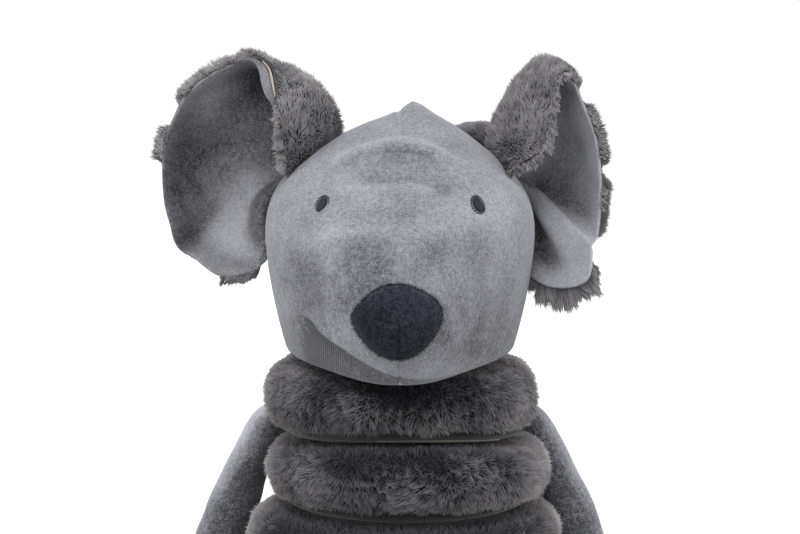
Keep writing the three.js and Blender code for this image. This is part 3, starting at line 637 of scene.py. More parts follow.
crowded = np.linspace(-1, 1, FACE_COLUMNS)
crowded = crowded - 0.12 * np.sin(np.pi * crowded)
face_up = 1 - np.linspace(0, 1, FACE_ROWS) ** 1.35
face_grid = head_sheet(face_up, crowded, "face")
face_out = grid_normals(face_grid)
if face_out[FACE_ROWS // 2, FACE_COLUMNS // 2, 1] > 0:
    face_out = -face_out
push, nap_and_shade, rib = face_details(face_grid)
seam_near = (1 - np.abs(crowded))[None, :] * FACE_REACH
side_rows = np.concatenate([face_up, np.zeros(UNDER_ROWS - 1)])
dip = -SEAM_DIP * bell(seam_near, SEAM_WIDTH) * step(1 - side_rows, 0.14, 0.3)[:, None]
face_grid = face_grid + face_out * (push + dip)[..., None]
face_velour = sheet_piece("face_velour", face_grid, head_velour, {"nap_and_shade": nap_and_shade, "rib": rib})
thicken(face_velour, VELOUR_WALL)
place(face_velour, "head", "face_panel", "velour", 0.8)

# The back starts at the row where the head is deep enough for its seam
first = int(np.argmax(HEAD_BACK * head_width(face_up) > HEAD_SEAM))
back_across = np.linspace(-1, 1, BACK_COLUMNS)
back_grid = head_sheet(face_up[max(first - 1, 0):], back_across, "back")
back_out = grid_normals(back_grid)
if back_out[60, BACK_COLUMNS // 2, 1] < 0:
    back_out = -back_out
side_seam = (1 - np.abs(back_across))[None, :] * BACK_REACH
centre_seam = np.abs(back_across)[None, :] * BACK_REACH
back_push = -SEAM_DIP * bell(side_seam, SEAM_WIDTH) - 0.8 * bell(centre_seam, 1.2)
back_nap = 0.62 + 0.12 * waves(back_grid, 40, 3)
back_grid = back_grid + back_out * back_push[..., None]
head_back_velour = sheet_piece("head_back_velour", back_grid, head_velour, {"nap_and_shade": back_nap, "rib": 0.0})
thicken(head_back_velour, VELOUR_WALL)
place(head_back_velour, "head", "head_back_panel", "velour", 0.8)
print("face", len(face_velour.data.polygons), "and back", len(head_back_velour.data.polygons), "faces")


# %% [markdown]
# ## Nose and eyes
#
# The nose is a blue-black velour patch, padded and sewn on, with a small dart in its lower half and
# a fuzzy edge where the pile stands over the seam. The eyes are embroidered: satin stitches side by
# side across an oval, with a ring of small running stitches round them. Both follow the face, so
# their places are worked out on the head's own formula.

# %% Where a patch meets the face
def on_face(x, z):
    """The face's point and its outward direction at a place (x, height above the base) seen from
    the front. The height share is found by a few rounds of correcting it for the chin's droop."""
    def point(x, z):
        up = z / HEAD_HEIGHT
        for _ in range(14):
            lean = CROWN_LEAN * step(up, LEAN_FROM, 1)
            side = np.maximum(HEAD_HALF * head_width(up), 1)
            around = np.arcsin(np.clip((x - lean) / side, -1, 1))
            found = head_point(around, up)
            up = np.clip(up + (z + HEAD_BASE - found[..., 2]) / HEAD_HEIGHT, 0, 1)
        return found

    reach = 0.5
    here = point(x, z)
    right = point(x + reach, z) - point(x - reach, z)
    rise = point(x, z + reach) - point(x, z - reach)
    out = np.cross(right, rise)
    return here, out / np.linalg.norm(out, axis=-1, keepdims=True)


# %% Nose
NOSE_MIDDLE, NOSE_CENTRE, NOSE_THICK, NOSE_EDGE = -0.8, 31.0, 2.4, 0.25
NOSE_AROUND, NOSE_RINGS, RIM_WAVES, HEM_RINGS = 120, 26, 5, 8
NOSE_RIM = np.array([
    (-0.7, 48.4), (6.2, 46.9), (12.3, 43.6), (17.5, 38.9), (19.2, 32.5), (15.6, 24.1), (8.9, 16.4),
    (0.1, 13.1), (-6.8, 14.4), (-13.8, 18.5), (-19.9, 25.2), (-21.6, 32.0), (-19.9, 36.8), (-14.6, 42.5),
    (-8.4, 46.8),
])


def round_rim(corners, count):
    """A smooth closed outline through corners, as a sum of the first few circular waves."""
    def circular(turn):
        rows = [wave(k * turn) for k in range(1, RIM_WAVES + 1) for wave in (np.cos, np.sin)]
        return np.concatenate([[np.ones_like(turn)], rows]).T

    here = 2 * np.pi * np.arange(len(corners)) / len(corners)
    turn = np.linspace(0, 2 * np.pi, count, endpoint=False)
    return circular(turn) @ np.linalg.lstsq(circular(here), corners, rcond=None)[0]


rim_x, rim_z = 0.975 * (round_rim(NOSE_RIM, NOSE_AROUND) - [NOSE_MIDDLE, NOSE_CENTRE]).T
out_share = np.concatenate([np.linspace(0, 1, NOSE_RINGS) ** 0.8, [1.0], np.linspace(1, 0, HEM_RINGS)])
dome = np.concatenate([
    NOSE_EDGE + (NOSE_THICK - NOSE_EDGE) * (1 - np.linspace(0, 1, NOSE_RINGS) ** 4.0) ** 0.5,
    [0.12], np.full(HEM_RINGS, 0.1),
])
nose_x = NOSE_MIDDLE + out_share[:, None] * rim_x[None, :]
nose_z = NOSE_CENTRE + out_share[:, None] * rim_z[None, :]
nose_base, nose_out = on_face(nose_x, nose_z)
inside_rim = step(1 - out_share, 0.0, 0.05)[:, None]
dart = bell(nose_x + 0.4, 0.6) * step(NOSE_CENTRE + 2 - nose_z, 0, 6) * inside_rim
lift = dome[:, None] - 0.9 * dart * (dome[:, None] > 0.3)
# Painted light on the nose: lighter on its upper half, with painted shade in the dart and at its lower left
left_shade = 0.2 * step(-nose_x, 0, 12) * step(NOSE_CENTRE + 8 - nose_z, -6, 6)
nose_nap_and_shade = 0.3 + 0.26 * step(nose_z, NOSE_CENTRE, NOSE_CENTRE + 16) - 0.25 * dart - left_shade
nose_grid = nose_base + nose_out * lift[..., None]
nose_cloth = sheet_piece("nose_cloth", nose_grid, nose_velour, {"nap_and_shade": nose_nap_and_shade}, round_columns=True)
place(nose_cloth, "head", "nose", "nose_velour", 0.7)
print("nose", len(nose_cloth.data.polygons), "faces")

# %% [markdown]
# Short fibres stand over the nose's seam all round, pointing outwards and a little ahead, and some
# on its dome. Each is a thin closed spike.

# %% Fuzz of the nose
FUZZ, FUZZ_AT_RIM, FUZZ_HALF = 5200, 0.62, 0.11
rng = np.random.default_rng(4)
fuzz_turn = rng.random(FUZZ) * NOSE_AROUND
at_seam = rng.random(FUZZ) < FUZZ_AT_RIM
fuzz_share = np.where(at_seam, 1.0 - 0.05 * rng.random(FUZZ), np.sqrt(rng.random(FUZZ)) * 0.95)
low = np.floor(fuzz_turn).astype(int)
part = fuzz_turn - low
edge_x = rim_x[low] * (1 - part) + rim_x[(low + 1) % NOSE_AROUND] * part
edge_z = rim_z[low] * (1 - part) + rim_z[(low + 1) % NOSE_AROUND] * part
fuzz_base, fuzz_out = on_face(NOSE_MIDDLE + fuzz_share * edge_x, NOSE_CENTRE + fuzz_share * edge_z)
away_x = edge_x / np.hypot(edge_x, edge_z)
away_z = edge_z / np.hypot(edge_x, edge_z)
sideways = np.stack([away_x, 0 * away_x, away_z], -1) + 0.5 * rng.normal(size=(FUZZ, 3))
at_rim = step(fuzz_share, 0.9, 1.0)
root = fuzz_base + fuzz_out * np.where(fuzz_share > 0.94, 0.5, NOSE_THICK * 0.9)[:, None]
tip_way = fuzz_out * (0.55 - 0.2 * at_rim)[:, None] + sideways * (0.45 + 0.35 * at_rim)[:, None]
tip = root + tip_way * (0.9 + 0.9 * at_rim * rng.random(FUZZ))[:, None]
width_way = np.cross(tip_way, rng.normal(size=(FUZZ, 3)))
width_way *= FUZZ_HALF / np.linalg.norm(width_way, axis=-1, keepdims=True)
third_way = np.cross(width_way, tip_way)
third_way *= FUZZ_HALF / np.linalg.norm(third_way, axis=-1, keepdims=True)
far_root = root - 0.5 * width_way
corners = np.stack([root + width_way, far_root + third_way, far_root - third_way, tip], 1)
spike = np.array([[0, 1, 3], [1, 2, 3], [2, 0, 3], [0, 2, 1]])
spikes = (spike[None] + 4 * np.arange(FUZZ)[:, None, None]).reshape(-1, 3)
# Fibres on the upper half of the nose are painted lighter, as lit from above, and their tones differ at
# random
fuzz_nap_and_shade = 0.45 + 0.25 * step(fuzz_base[:, 2] - HEAD_BASE, 30, 46) + 0.12 * rng.normal(size=FUZZ)
nose_fuzz = make_piece("nose_fuzz", corners, spikes, nose_velour, {"nap_and_shade": np.repeat(fuzz_nap_and_shade, 4)})
weld(nose_fuzz)
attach(nose_fuzz, "head")
print("fuzz:", FUZZ, "fibres")

# %% [markdown]
# A thread is a thin tube whose two ends dive into the cloth. All threads of an eye are worked out
# at once, as rows of points.


# %% Threads
def tubes(paths, radius, sides=6):
    """Round threads along many paths at once. paths has one row of points per thread; each thread
    thins to nothing at its two ends, so that it dives into the cloth. Returns points and faces."""
    count, steps = paths.shape[:2]
    along = unit(np.gradient(paths, axis=1))
    side = unit(np.cross(along, np.array([0.31, 0.9, 0.3])))
    third = np.cross(along, side)
    share = np.linspace(0, 1, steps)
    thick = radius * np.sqrt(np.clip(1 - (2 * share - 1) ** 8, 0, 1))
    turn = np.linspace(0, 2 * np.pi, sides, endpoint=False)
    ring = (side[:, :, None] * np.cos(turn)[:, None] + third[:, :, None] * np.sin(turn)[:, None])
    points = paths[:, :, None] + ring * thick[None, :, None, None]
    one = grid_faces(steps, sides, round_columns=True)
    faces = one[None] + (np.arange(count) * steps * sides)[:, None, None]
    return points.reshape(-1, 3), faces.reshape(-1, 4)


thread_look, thread_tree, thread_shader = new_material("embroidery thread")
thread_place = own_place(thread_tree)
thread_noise = noise_at(thread_tree, thread_place, 1800.0)
thread_colour = blend_colours(
    thread_tree, thread_noise, grey(14, (0.8, 0.95, 1.4)), grey(58, (0.85, 0.95, 1.25))
)
thread_tree.links.new(thread_colour, thread_shader.inputs["Base Color"])
finish(thread_shader, Roughness=0.6, Specular_IOR_Level=0.25)

# %% Eyes
EYE_OUT, EYE_HEIGHT, EYE_LEAN = 36.5, 79.5, np.radians(32)
THREAD, SATIN_ROWS, SATIN_SHORT, SATIN_LONG = 0.3, 17, 2.2, 3.7
RING_MARKS, RING_SHORT, RING_LONG = 20, 2.75, 4.35
for name, node_name, side in (("eye_left_stitches", "eye_left", 1), ("eye_right_stitches", "eye_right", -1)):
    long_way = np.array([side * -np.sin(EYE_LEAN), np.cos(EYE_LEAN)])
    short_way = np.array([long_way[1], -long_way[0]])
    rows = np.linspace(-0.93, 0.93, SATIN_ROWS)
    steps = np.linspace(-1, 1, 9)
    half = SATIN_SHORT * np.sqrt(1 - rows**2)
    across = (half[:, None] * steps[None, :])[..., None] * short_way
    flat = (rows * SATIN_LONG)[:, None, None] * long_way + across
    base, out = on_face(side * EYE_OUT + flat[..., 0], EYE_HEIGHT + flat[..., 1])
    rise = 0.15 + 0.85 * np.sqrt(np.clip(1 - steps**2, 0, 1))
    fill = tubes(base + out * rise[None, :, None], THREAD)
    mark = np.linspace(-0.46, 0.46, 6)
    ring = (np.arange(RING_MARKS)[:, None] + mark[None, :]) / RING_MARKS * 2 * np.pi
    across = (RING_SHORT * np.sin(ring))[..., None] * short_way
    flat = across + (RING_LONG * np.cos(ring))[..., None] * long_way
    base, out = on_face(side * EYE_OUT + flat[..., 0], EYE_HEIGHT + flat[..., 1])
    hop = 0.32 * np.sqrt(np.clip(1 - np.linspace(-1, 1, 6) ** 2, 0, 1))
    edge = tubes(base + out * (hop - 0.06)[None, :, None], THREAD)
    stitches = np.concatenate([fill[0], edge[0]]), np.concatenate([fill[1], edge[1] + len(fill[0])])
    eye = make_piece(name, *stitches, thread_look)
    weld(eye)
    place(eye, "head", node_name, "eye_thread")
    print(name, len(eye.data.polygons), "faces")

# %% [markdown]
# ## Fur
#
# The fur is a plush pile about 6 mm long, so long that its tufts show one by one. Hair particles
# would not be part of the finished meshes, so each tuft is a real closed spike of six triangles: a
# root, three points round its middle and a tip. Tips lean with the flow of the pile and are drawn
# together into locks by the slope of a smooth uneven field. Each spike has a place on a small map:
# across is its tone, and up is how high on the pile, so the colours are dark roots and light tips.
# The dark roots are partly painted shade deep in the pile, and the tone also carries painted shade
# and light.

# %% Fur finish
fur_look, fur_tree, fur_shader = new_material("fur pile")
strand_map = node(fur_tree, "ShaderNodeUVMap", uv_map="strand").outputs[0]
strand_place = node(fur_tree, "ShaderNodeSeparateXYZ", {0: strand_map})


def pile_ramp(colours):
    """A ramp from the roots of the pile to its tips."""
    made = node(fur_tree, "ShaderNodeValToRGB", {0: strand_place.outputs["Y"]})
    made.color_ramp.elements[0].color = colours[0]
    made.color_ramp.elements[1].color = colours[-1]
    for share, colour in zip(np.linspace(0, 1, len(colours))[1:-1], colours[1:-1]):
        made.color_ramp.elements.new(float(share)).color = colour
    return made.outputs[0]


# The ramps run from dark roots, partly painted shade deep in the pile, to light tips
DEEP_TINT, TIP_TINT = (1.0, 0.97, 1.17), (1.0, 0.975, 1.0)
dark_tufts = pile_ramp([grey(16, DEEP_TINT), grey(34, DEEP_TINT), grey(66, DEEP_TINT)])
light_tufts = pile_ramp([grey(80, DEEP_TINT), grey(122, TIP_TINT), grey(180, TIP_TINT)])
fur_colour = blend_colours(fur_tree, strand_place.outputs["X"], dark_tufts, light_tufts)
fur_tree.links.new(fur_colour, fur_shader.inputs["Base Color"])
finish(
    fur_shader, Roughness=0.8, Specular_IOR_Level=0.2,
    Sheen_Weight=0.5, Sheen_Roughness=0.4, Sheen_Tint=(0.95, 0.9, 0.88, 1),
)


# %% Scattering and growing the pile
def scatter(grid, normals, count, seed, density=None, fields=()):
    """Even random places on a grid surface: faces are picked in turn by their area times density,
    then a point inside each is interpolated. Returns places, normals and the fields there."""
    rng = np.random.default_rng(seed)
    corners = [grid[:-1, :-1], grid[1:, :-1], grid[1:, 1:], grid[:-1, 1:]]
    area = np.linalg.norm(np.cross(corners[2] - corners[0], corners[3] - corners[1]), axis=-1)
    if density is not None:
        area = area * (density[:-1, :-1] + density[1:, 1:]) / 2
    ladder = np.cumsum(area.ravel())
    ladder /= ladder[-1]
    cells = np.searchsorted(ladder, (np.arange(count) + rng.random(count)) / count)
    i, j = np.unravel_index(np.minimum(cells, area.size - 1), area.shape)
    s, t = rng.random(count), rng.random(count)
    shares = [(1 - s) * (1 - t), s * (1 - t), s * t, (1 - s) * t]

    def mix(values):
        parts = [values[i, j], values[i + 1, j], values[i + 1, j + 1], values[i, j + 1]]
        extra = (slice(None),) + (None,) * (values.ndim - 2)
        return sum(share[extra] * part for share, part in zip(shares, parts))

    return mix(grid), unit(mix(normals)), [mix(field) for field in fields]


THIRD_TURNS = (0, 2.0944, 4.1888)
SPIKE = np.array([[0, 2, 1], [0, 3, 2], [0, 1, 3], [4, 1, 2], [4, 2, 3], [4, 3, 1]])
# Where a spike's five points lie on its map: across from its tone, and up the pile
SPIKE_ACROSS, SPIKE_UP = np.array([0, -0.012, 0, 0.012, 0]), np.array([0.02, 0.5, 0.54, 0.5, 0.98])


def grow(
    roots, out, lean, length, tone, seed, lock_size=5.0, lock_pull=1.3, width=0.66, uneven=0.05, facing=0.0
):
    """Spikes of pile. A spike leaves along the surface's direction, bends towards lean, and its tip
    is drawn towards the crest of the uneven field. Returns points, triangles, map places and
    shading directions, which are mostly the surface's own, so that the pile shades softly. facing
    draws them towards one direction more."""
    rng = np.random.default_rng(seed)
    count = len(roots)
    pull = 0.7 * wave_pull(roots, lock_size, seed) + 0.7 * wave_pull(roots, 2.3 * lock_size, seed + 1)
    pull -= out * (pull * out).sum(-1, keepdims=True)
    crest = waves(roots, lock_size, seed)
    first = unit(out + 0.35 * lean)
    second = unit(out * 0.8 + lean + 0.12 * rng.normal(size=(count, 3)))
    middle = roots + first * (0.5 * length)[:, None] + 0.35 * lock_pull * pull
    tip = middle + second * (0.5 * length)[:, None] + 0.65 * lock_pull * pull
    side = unit(np.cross(second, rng.normal(size=(count, 3))))
    other = np.cross(second, side)
    half = (width * (0.75 + 0.5 * rng.random(count)))[:, None] / 2
    ring = [middle + half * (side * np.cos(a) + other * np.sin(a)) for a in THIRD_TURNS]
    points = np.stack([roots - out * 0.4, *ring, tip], 1).reshape(-1, 3)
    faces = (SPIKE[None] + (np.arange(count) * 5)[:, None, None]).reshape(-1, 3)
    # Painted shade: tufts on a lock's crest are lighter, and those in the gaps between locks darker
    shade = np.clip(tone + 0.11 * crest + uneven * rng.normal(size=count), 0.03, 0.97)
    places = np.stack([shade[:, None] + SPIKE_ACROSS, np.broadcast_to(SPIKE_UP, (count, 5))], -1)
    bend = np.stack([
        out, out + 0.5 * side, out - 0.5 * side + 0.4 * other, out - 0.4 * other, out + 0.4 * second,
    ], 1)
    return points, faces, places.reshape(-1, 2), unit(bend.reshape(-1, 3) + facing)


def fur_piece(name, skin_grid, skin_closed, tufts, skin_tone=0.15):
    """One mesh of a closed backing cloth and the tufts on it. The backing's faces are turned the
    right way as a whole by the sign of its volume, and then split into triangles. skin_tone is the
    backing's place in the fur's ramp of tones."""
    rows, columns = skin_grid.shape[:2]
    quads = grid_faces(rows, columns, *skin_closed)
    points = skin_grid.reshape(-1, 3)
    triangles = np.concatenate([quads[:, [0, 1, 2]], quads[:, [0, 2, 3]]])
    a, b, c = (points[triangles[:, k]] for k in range(3))
    if (a * np.cross(b, c)).sum() < 0:
        triangles = triangles[:, ::-1]
    i, j = np.meshgrid(np.arange(rows) / rows, np.arange(columns) / columns, indexing="ij")
    skin_places = np.stack([skin_tone + 0.2 * np.abs(2 * j - 1), 0.22 + 0.1 * np.abs(2 * i - 1)], -1)
    all_points, all_faces, all_places = [points], [triangles], [skin_places.reshape(-1, 2)]
    start = len(points)
    for tuft_points, tuft_faces, tuft_places, _ in tufts:
        all_points.append(tuft_points)
        all_faces.append(tuft_faces + start)
        all_places.append(tuft_places)
        start += len(tuft_points)
    whole = np.concatenate(all_points), np.concatenate(all_faces)
    piece = make_piece(name, *whole, fur_look, None, np.concatenate(all_places))
    piece.data.update()
    own = np.zeros(len(piece.data.vertices) * 3, np.float32)
    piece.data.vertices.foreach_get("normal", own)
    shading = own.reshape(-1, 3)
    shading[len(points):] = np.concatenate([row[3] for row in tufts])
    piece.data.normals_split_custom_set_from_vertices(shading.tolist())
    return piece


# %% [markdown]
# ## Body of fur rings
#
# Each ring is a fat hoop of fur cloth round a stuffed core, closed below by a panel of smooth grey
# knit whose edge shows as a lip. The hoops are squashed a little by what is above them, and at the
# front the seam below the top ring is drawn up. A ring's section is a bulge, carried round an oval.

# %% Ring sizes
RINGS = [
    ("tier_1", 69.5, 146.6, 188), ("tier_2", 72.6, 113, 146.6), ("tier_3", 80.5, 74, 113),
    ("tier_4", 79, 36, 74), ("tier_5", 76.5, 0, 36),
]
BULGE, HOLE, DEPTH_SHARE, SEAM_GAP = 15, 27.3, 0.88, 0.3
LIFT, LIFT_HEIGHT, LIFT_SPREAD, LIFT_REACH = 10.5, 145, 34, 50
PILE = 5.6
LIP_TURN = np.radians(-56)
# The soft stack leans a little: how far its rings stand to the toy's left at each height
SWAY = ((0, 0.0), (74, 0.8), (93, 2.0), (112, 3.2), (128, 4.4), (145, 2.8), (160, 0.6), (188, 0.2))


def ring_arc(radius, bottom, top, inset, turn):
    """Radius and height of the bulge at a turn from straight down (-90 degrees) to straight up."""
    middle, half = (bottom + top) / 2, (top - bottom) / 2
    return radius - BULGE + (BULGE - inset) * np.cos(turn), middle + (half - inset) * np.sin(turn)


def ring_points(around, radius, height):
    """A section carried round the oval body, with the front of the upper seam drawn up."""
    x = radius * np.sin(around)
    forward = radius * np.cos(around)
    far = np.maximum(np.hypot(x, forward), SEAM_GAP)
    out = np.clip((far - HOLE) / LIFT_REACH, 0, 1)
    front = np.clip(forward / far, 0, None) ** 2
    near = np.clip((height - LIFT_HEIGHT) / LIFT_SPREAD, -1, 1)
    rise = LIFT * out * front * (1 + np.cos(np.pi * near)) / 2
    sway = np.interp(height, [row[0] for row in SWAY], [row[1] for row in SWAY])
    return np.stack([x + sway * step(far, HOLE, 55), -DEPTH_SHARE * forward, height + rise + 0 * x], -1)


AROUND = np.linspace(0, 2 * np.pi, 181)[:-1]


def ring_sheet(section, around=AROUND):
    """Carries a section, as rows of (radius, height), round the body."""
    radius, height = np.asarray(section).T
    return ring_points(around[None, :], radius[:, None], height[:, None])


# %% [markdown]
# A ring's backing is a closed sheet, from the lip over the bulge to the shoulder and back. Its pile
# points down and a little round. It is shorter where the next ring presses on it, and at the front
# it is darker above, where the next ring throws a shadow. Its tone is painted lighter at the sides,
# where the lamps graze it, low on the front bulge, where the light falls, and a little on the toy's
# left.

# %% Backing and pile of a ring
RING_TUFTS = (28500, 28500, 28500, 21000, 21000)
BACKING = 1.3
STRAIGHT_UP = np.radians(90)


def ring_skin(radius, bottom, top_edge):
    """The closed section of a ring's backing cloth, carried round the body."""
    turns = np.linspace(LIP_TURN, STRAIGHT_UP, 13)
    outer = np.stack(ring_arc(radius, bottom, top_edge, PILE, turns), -1)
    inner = np.stack(ring_arc(radius, bottom, top_edge, PILE + BACKING, turns), -1)[::-1]
    hem = [(outer[0][0] - 2.0, outer[0][1] - 0.8), (inner[-1][0] - 2.5, inner[-1][1] + 0.5)]
    shoulder = [(radius - BULGE - 8, top_edge - 2.6), (HOLE, top_edge - 0.8)]
    under_shoulder = [(HOLE, top_edge - 2.1), (radius - BULGE - 8, top_edge - 3.9)]
    return ring_sheet(np.concatenate([[hem[0]], outer, shoulder, under_shoulder, inner, [hem[1]]]))


def ring_roots(index, radius, bottom, top_edge):
    """Places for the tufts of a ring, their directions, and how far round the bulge each stands."""
    turns = np.concatenate([np.linspace(LIP_TURN, STRAIGHT_UP, 60), np.full(6, STRAIGHT_UP)])
    profile = np.stack(ring_arc(radius, bottom, top_edge, PILE - 0.1, turns), -1)
    profile[60:, 0] -= np.linspace(1.2, 7, 6)
    profile[60:, 1] += np.linspace(0.4, 2.4, 6)
    grid = ring_sheet(profile)
    grid = np.concatenate([grid, grid[:, :1]], 1)
    out = grid_normals(grid)
    if (out[:, :, :2] * grid[:, :, :2]).sum() < 0:
        out = -out
    turn_grid = np.broadcast_to(turns[:, None], grid.shape[:2])
    return scatter(grid, out, RING_TUFTS[index], 10 + index, None, (turn_grid,))


# %% Fur rings
for index, (name, radius, bottom, top) in enumerate(RINGS):
    roots, out, (turn_here,) = ring_roots(index, radius, bottom, top - SEAM_GAP)
    rng = np.random.default_rng(30 + index)
    high = step(turn_here, np.radians(35), np.radians(80))
    low = step(-turn_here, np.radians(25), np.radians(56))
    down = -UP + out * out[:, 2:3]
    lean = down * ((0.38 + 0.3 * waves(roots, 26, 60 + index)) * (1 - 1.5 * high) - 0.1 * low)[:, None]
    lean += np.cross(UP, out) * (0.45 * waves(roots, 38, 50 + index))[:, None]
    length = PILE * (1.0 + 0.1 * waves(roots, 12, 70 + index) + 0.1 * rng.normal(size=RING_TUFTS[index]))
    length *= 1 - (0.6 if index == 0 else 0.25) * high - 0.25 * bell(turn_here - LIP_TURN, 0.14)
    side = np.abs(roots[:, 0]) / radius
    # Painted light: the sides are lighter, where the lamps graze the pile
    tone = 0.34 + 0.15 * waves(roots, 26, 80 + index) + 0.24 * step(side, 0.35, 0.95)
    ahead = step(-roots[:, 1], -30, 20) * (1 - 0.75 * step(side, 0.45, 0.95))
    # Painted shadow above at the front, under the next ring, and painted light low on the front bulge
    shadow = (0.36 + 0.3 * (index == 2)) * step(turn_here, -0.1, 0.9)
    tone += (0.14 * step(-turn_here, 0, 0.7) - shadow) * ahead
    # Painted light: the toy's left side a little lighter than its right
    tone += 0.06 * np.tanh(roots[:, 0] / 25) - 0.03
    tufts = grow(roots, out, lean, length, tone, 90 + index)
    skin = ring_skin(radius, bottom, top - SEAM_GAP)
    piece = fur_piece(name + "_pile", skin, (True, True), [tufts])
    place(piece, "torso", name + "_fur", "fur", 0.7)
    print(name, "pile:", len(piece.data.polygons), "triangles")

# %% [markdown]
# The panel under each ring is a smooth grey knit, sewn to the fur along the lower edge of the
# bulge. There its edge rolls outwards and shows as a lip. The top ring shows a strip of the tan
# backing tape in that seam.

# %% Knit finish
def knit(name, dark, light):
    """A fine knit: small noise for the stitches, larger noise for uneven dye."""
    made, tree, shader = new_material(name)
    here = own_place(tree)
    fine, patch = noise_at(tree, here, 1300.0, 3.0), noise_at(tree, here, 70.0, 1.0)
    share = maths(tree, "MULTIPLY", maths(tree, "ADD", fine, patch), 0.5)
    coat(tree, shader, blend_colours(tree, share, dark, light), fine, 0.4, 0.0004)
    finish(shader, Roughness=0.95, Specular_IOR_Level=0.2, Sheen_Weight=0.25)
    return made


knit_look = knit("grey knit", grey(18, (1, 0.96, 0.99)), grey(54, (1, 0.96, 0.98)))
tape_look = knit("tan seam tape", grey(96, (1, 0.86, 0.72)), grey(160, (1, 0.88, 0.76)))

# %% Undersides and base
KNIT, LIP_ROWS = 1.5, 12
knit_panels = []
for name, radius, bottom, top in RINGS:
    turns = np.linspace(LIP_TURN - 0.03, np.radians(-90), LIP_ROWS)
    roll = np.sqrt(np.clip(1 - np.linspace(1, 0, LIP_ROWS) ** 2, 0, 1))
    lip = np.stack(ring_arc(radius, bottom, top - SEAM_GAP, 3.2 - 2.4 * roll, turns), -1)
    lip[:, 1] = np.maximum(lip[:, 1], bottom + 0.02)
    inner_radius = 0.0 if bottom == 0 else HOLE
    shelf_radii = np.linspace(lip[-1][0], inner_radius, LIP_ROWS)[1:]
    low = np.concatenate([lip, np.stack([shelf_radii, np.full(LIP_ROWS - 1, bottom + 0.02)], -1)])
    high = low[::-1] + np.array([0, KNIT])
    high[-LIP_ROWS:, 0] -= np.linspace(0, 1.4, LIP_ROWS)
    grid = ring_sheet(np.concatenate([low, high]))
    piece_name, node_name = name + "_under_cloth", name + "_underside"
    if bottom == 0:
        piece_name, node_name = "base_cloth", "base_panel"
    piece = sheet_piece(piece_name, grid, knit_look, None, True, True)
    place(piece, "torso", node_name, "knit")
    knit_panels.append((piece, name + "_pile", 2 * low[:, 0].max() * MM))

# %% Tan tape in the seam of the top ring
TAPE_STEPS = 70
tape_around = np.linspace(np.radians(-14), np.radians(54), TAPE_STEPS)
name, radius, bottom, top = RINGS[0]
tape_turns = np.linspace(np.radians(-74), np.radians(-86), 6)
tape_width = bell(np.linspace(-1, 1, TAPE_STEPS), 0.9)[None, :, None]
lower = ring_sheet(np.stack(ring_arc(radius, bottom, top, 0.35, tape_turns), -1), tape_around)
middle_line = lower.mean(0, keepdims=True)
outer_face = middle_line + (lower - middle_line) * (0.12 + 0.45 * tape_width)
inner_face = outer_face[::-1] + np.array([0, 0.5, 0.5])
tape_grid = np.concatenate([outer_face, inner_face])
tape = sheet_piece("tier_1_seam_tape", tape_grid, tape_look, round_rows=True)
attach(tape, "torso")

# %% Flat sizes of the knit
# Each panel is cut as an oval and stretched flat by the ring it closes
for panel, ring_name, width in knit_panels:
    area = cloth_area(panel, sides=2)
    length = max(width * DEPTH_SHARE, area / width)
    print(panel.name, "is cut to", round(width * 1000), "x", round(length * 1000), "mm")

# %% [markdown]
# ## Ears
#
# Each ear is two cloths sewn back to back, velour inside and fur outside, set into the head's side
# seam. The ear is a cup: from a throat at the seam, straight out in each direction to a rim. Near
# the face its wall folds forward over a crest, so that its fur side shows. The surface is a fan of
# curves, one from the throat to each point of the rim, each bent through a point half way out.

# %% Ear stations
EAR_SIZE = 60
THROAT = np.array([53, 13, HEAD_BASE + 90])
EAR_VELOUR, EAR_FUR = 1.6, 5.2
# Each station of the rim: its place, and the place half way out to it, in ear sizes from the throat
RIGHT_EAR = [
    [[0.05, -0.42, 0.08], [-0.17, -0.21, 0.14]], [[0.085, -0.53, 0.37], [-0.3, -0.23, 0.4]],
    [[0.14, -0.54, 0.63], [-0.2, -0.2, 0.59]], [[0.21, -0.4, 0.86], [0.02, -0.12, 0.74]],
    [[0.47, -0.2, 0.92], [0.25, 0.03, 0.6]], [[0.81, -0.27, 0.71], [0.46, 0.08, 0.35]],
    [[1, -0.3, 0.33], [0.57, 0.1, 0.13]], [[1.02, -0.33, -0.12], [0.57, 0.1, -0.12]],
    [[0.93, -0.4, -0.52], [0.51, 0.07, -0.34]], [[0.61, -0.47, -0.82], [0.34, 0, -0.47]],
    [[0.29, -0.37, -0.8], [0.15, -0.13, -0.44]], [[0.16, -0.24, -0.6], [0.08, -0.17, -0.32]],
    [[-0.16, 0.13, -0.16], [-0.1, 0.03, -0.07]],
]
LEFT_EAR = [
    [[0.02, -0.42, 0], [-0.06, -0.18, 0.08]], [[0.28, -0.54, 0.25], [-0.04, -0.2, 0.38]],
    [[0.35, -0.55, 0.53], [0.05, -0.18, 0.62]], [[0.42, -0.44, 0.78], [0.2, -0.07, 0.78]],
    [[0.52, -0.23, 0.74], [0.3, 0.07, 0.5]], [[0.66, -0.23, 0.45], [0.4, 0.13, 0.26]],
    [[0.74, -0.27, 0.12], [0.43, 0.13, 0.05]], [[0.75, -0.3, -0.29], [0.4, 0.07, -0.16]],
    [[0.7, -0.4, -0.7], [0.36, -0.07, -0.35]], [[0.62, -0.48, -0.87], [0.31, -0.1, -0.44]],
    [[0.39, -0.4, -0.93], [0.24, -0.03, -0.47]], [[0.18, -0.2, -0.84], [0.12, 0, -0.42]],
    [[0, 0.07, -0.54], [0, 0.03, -0.28]],
]


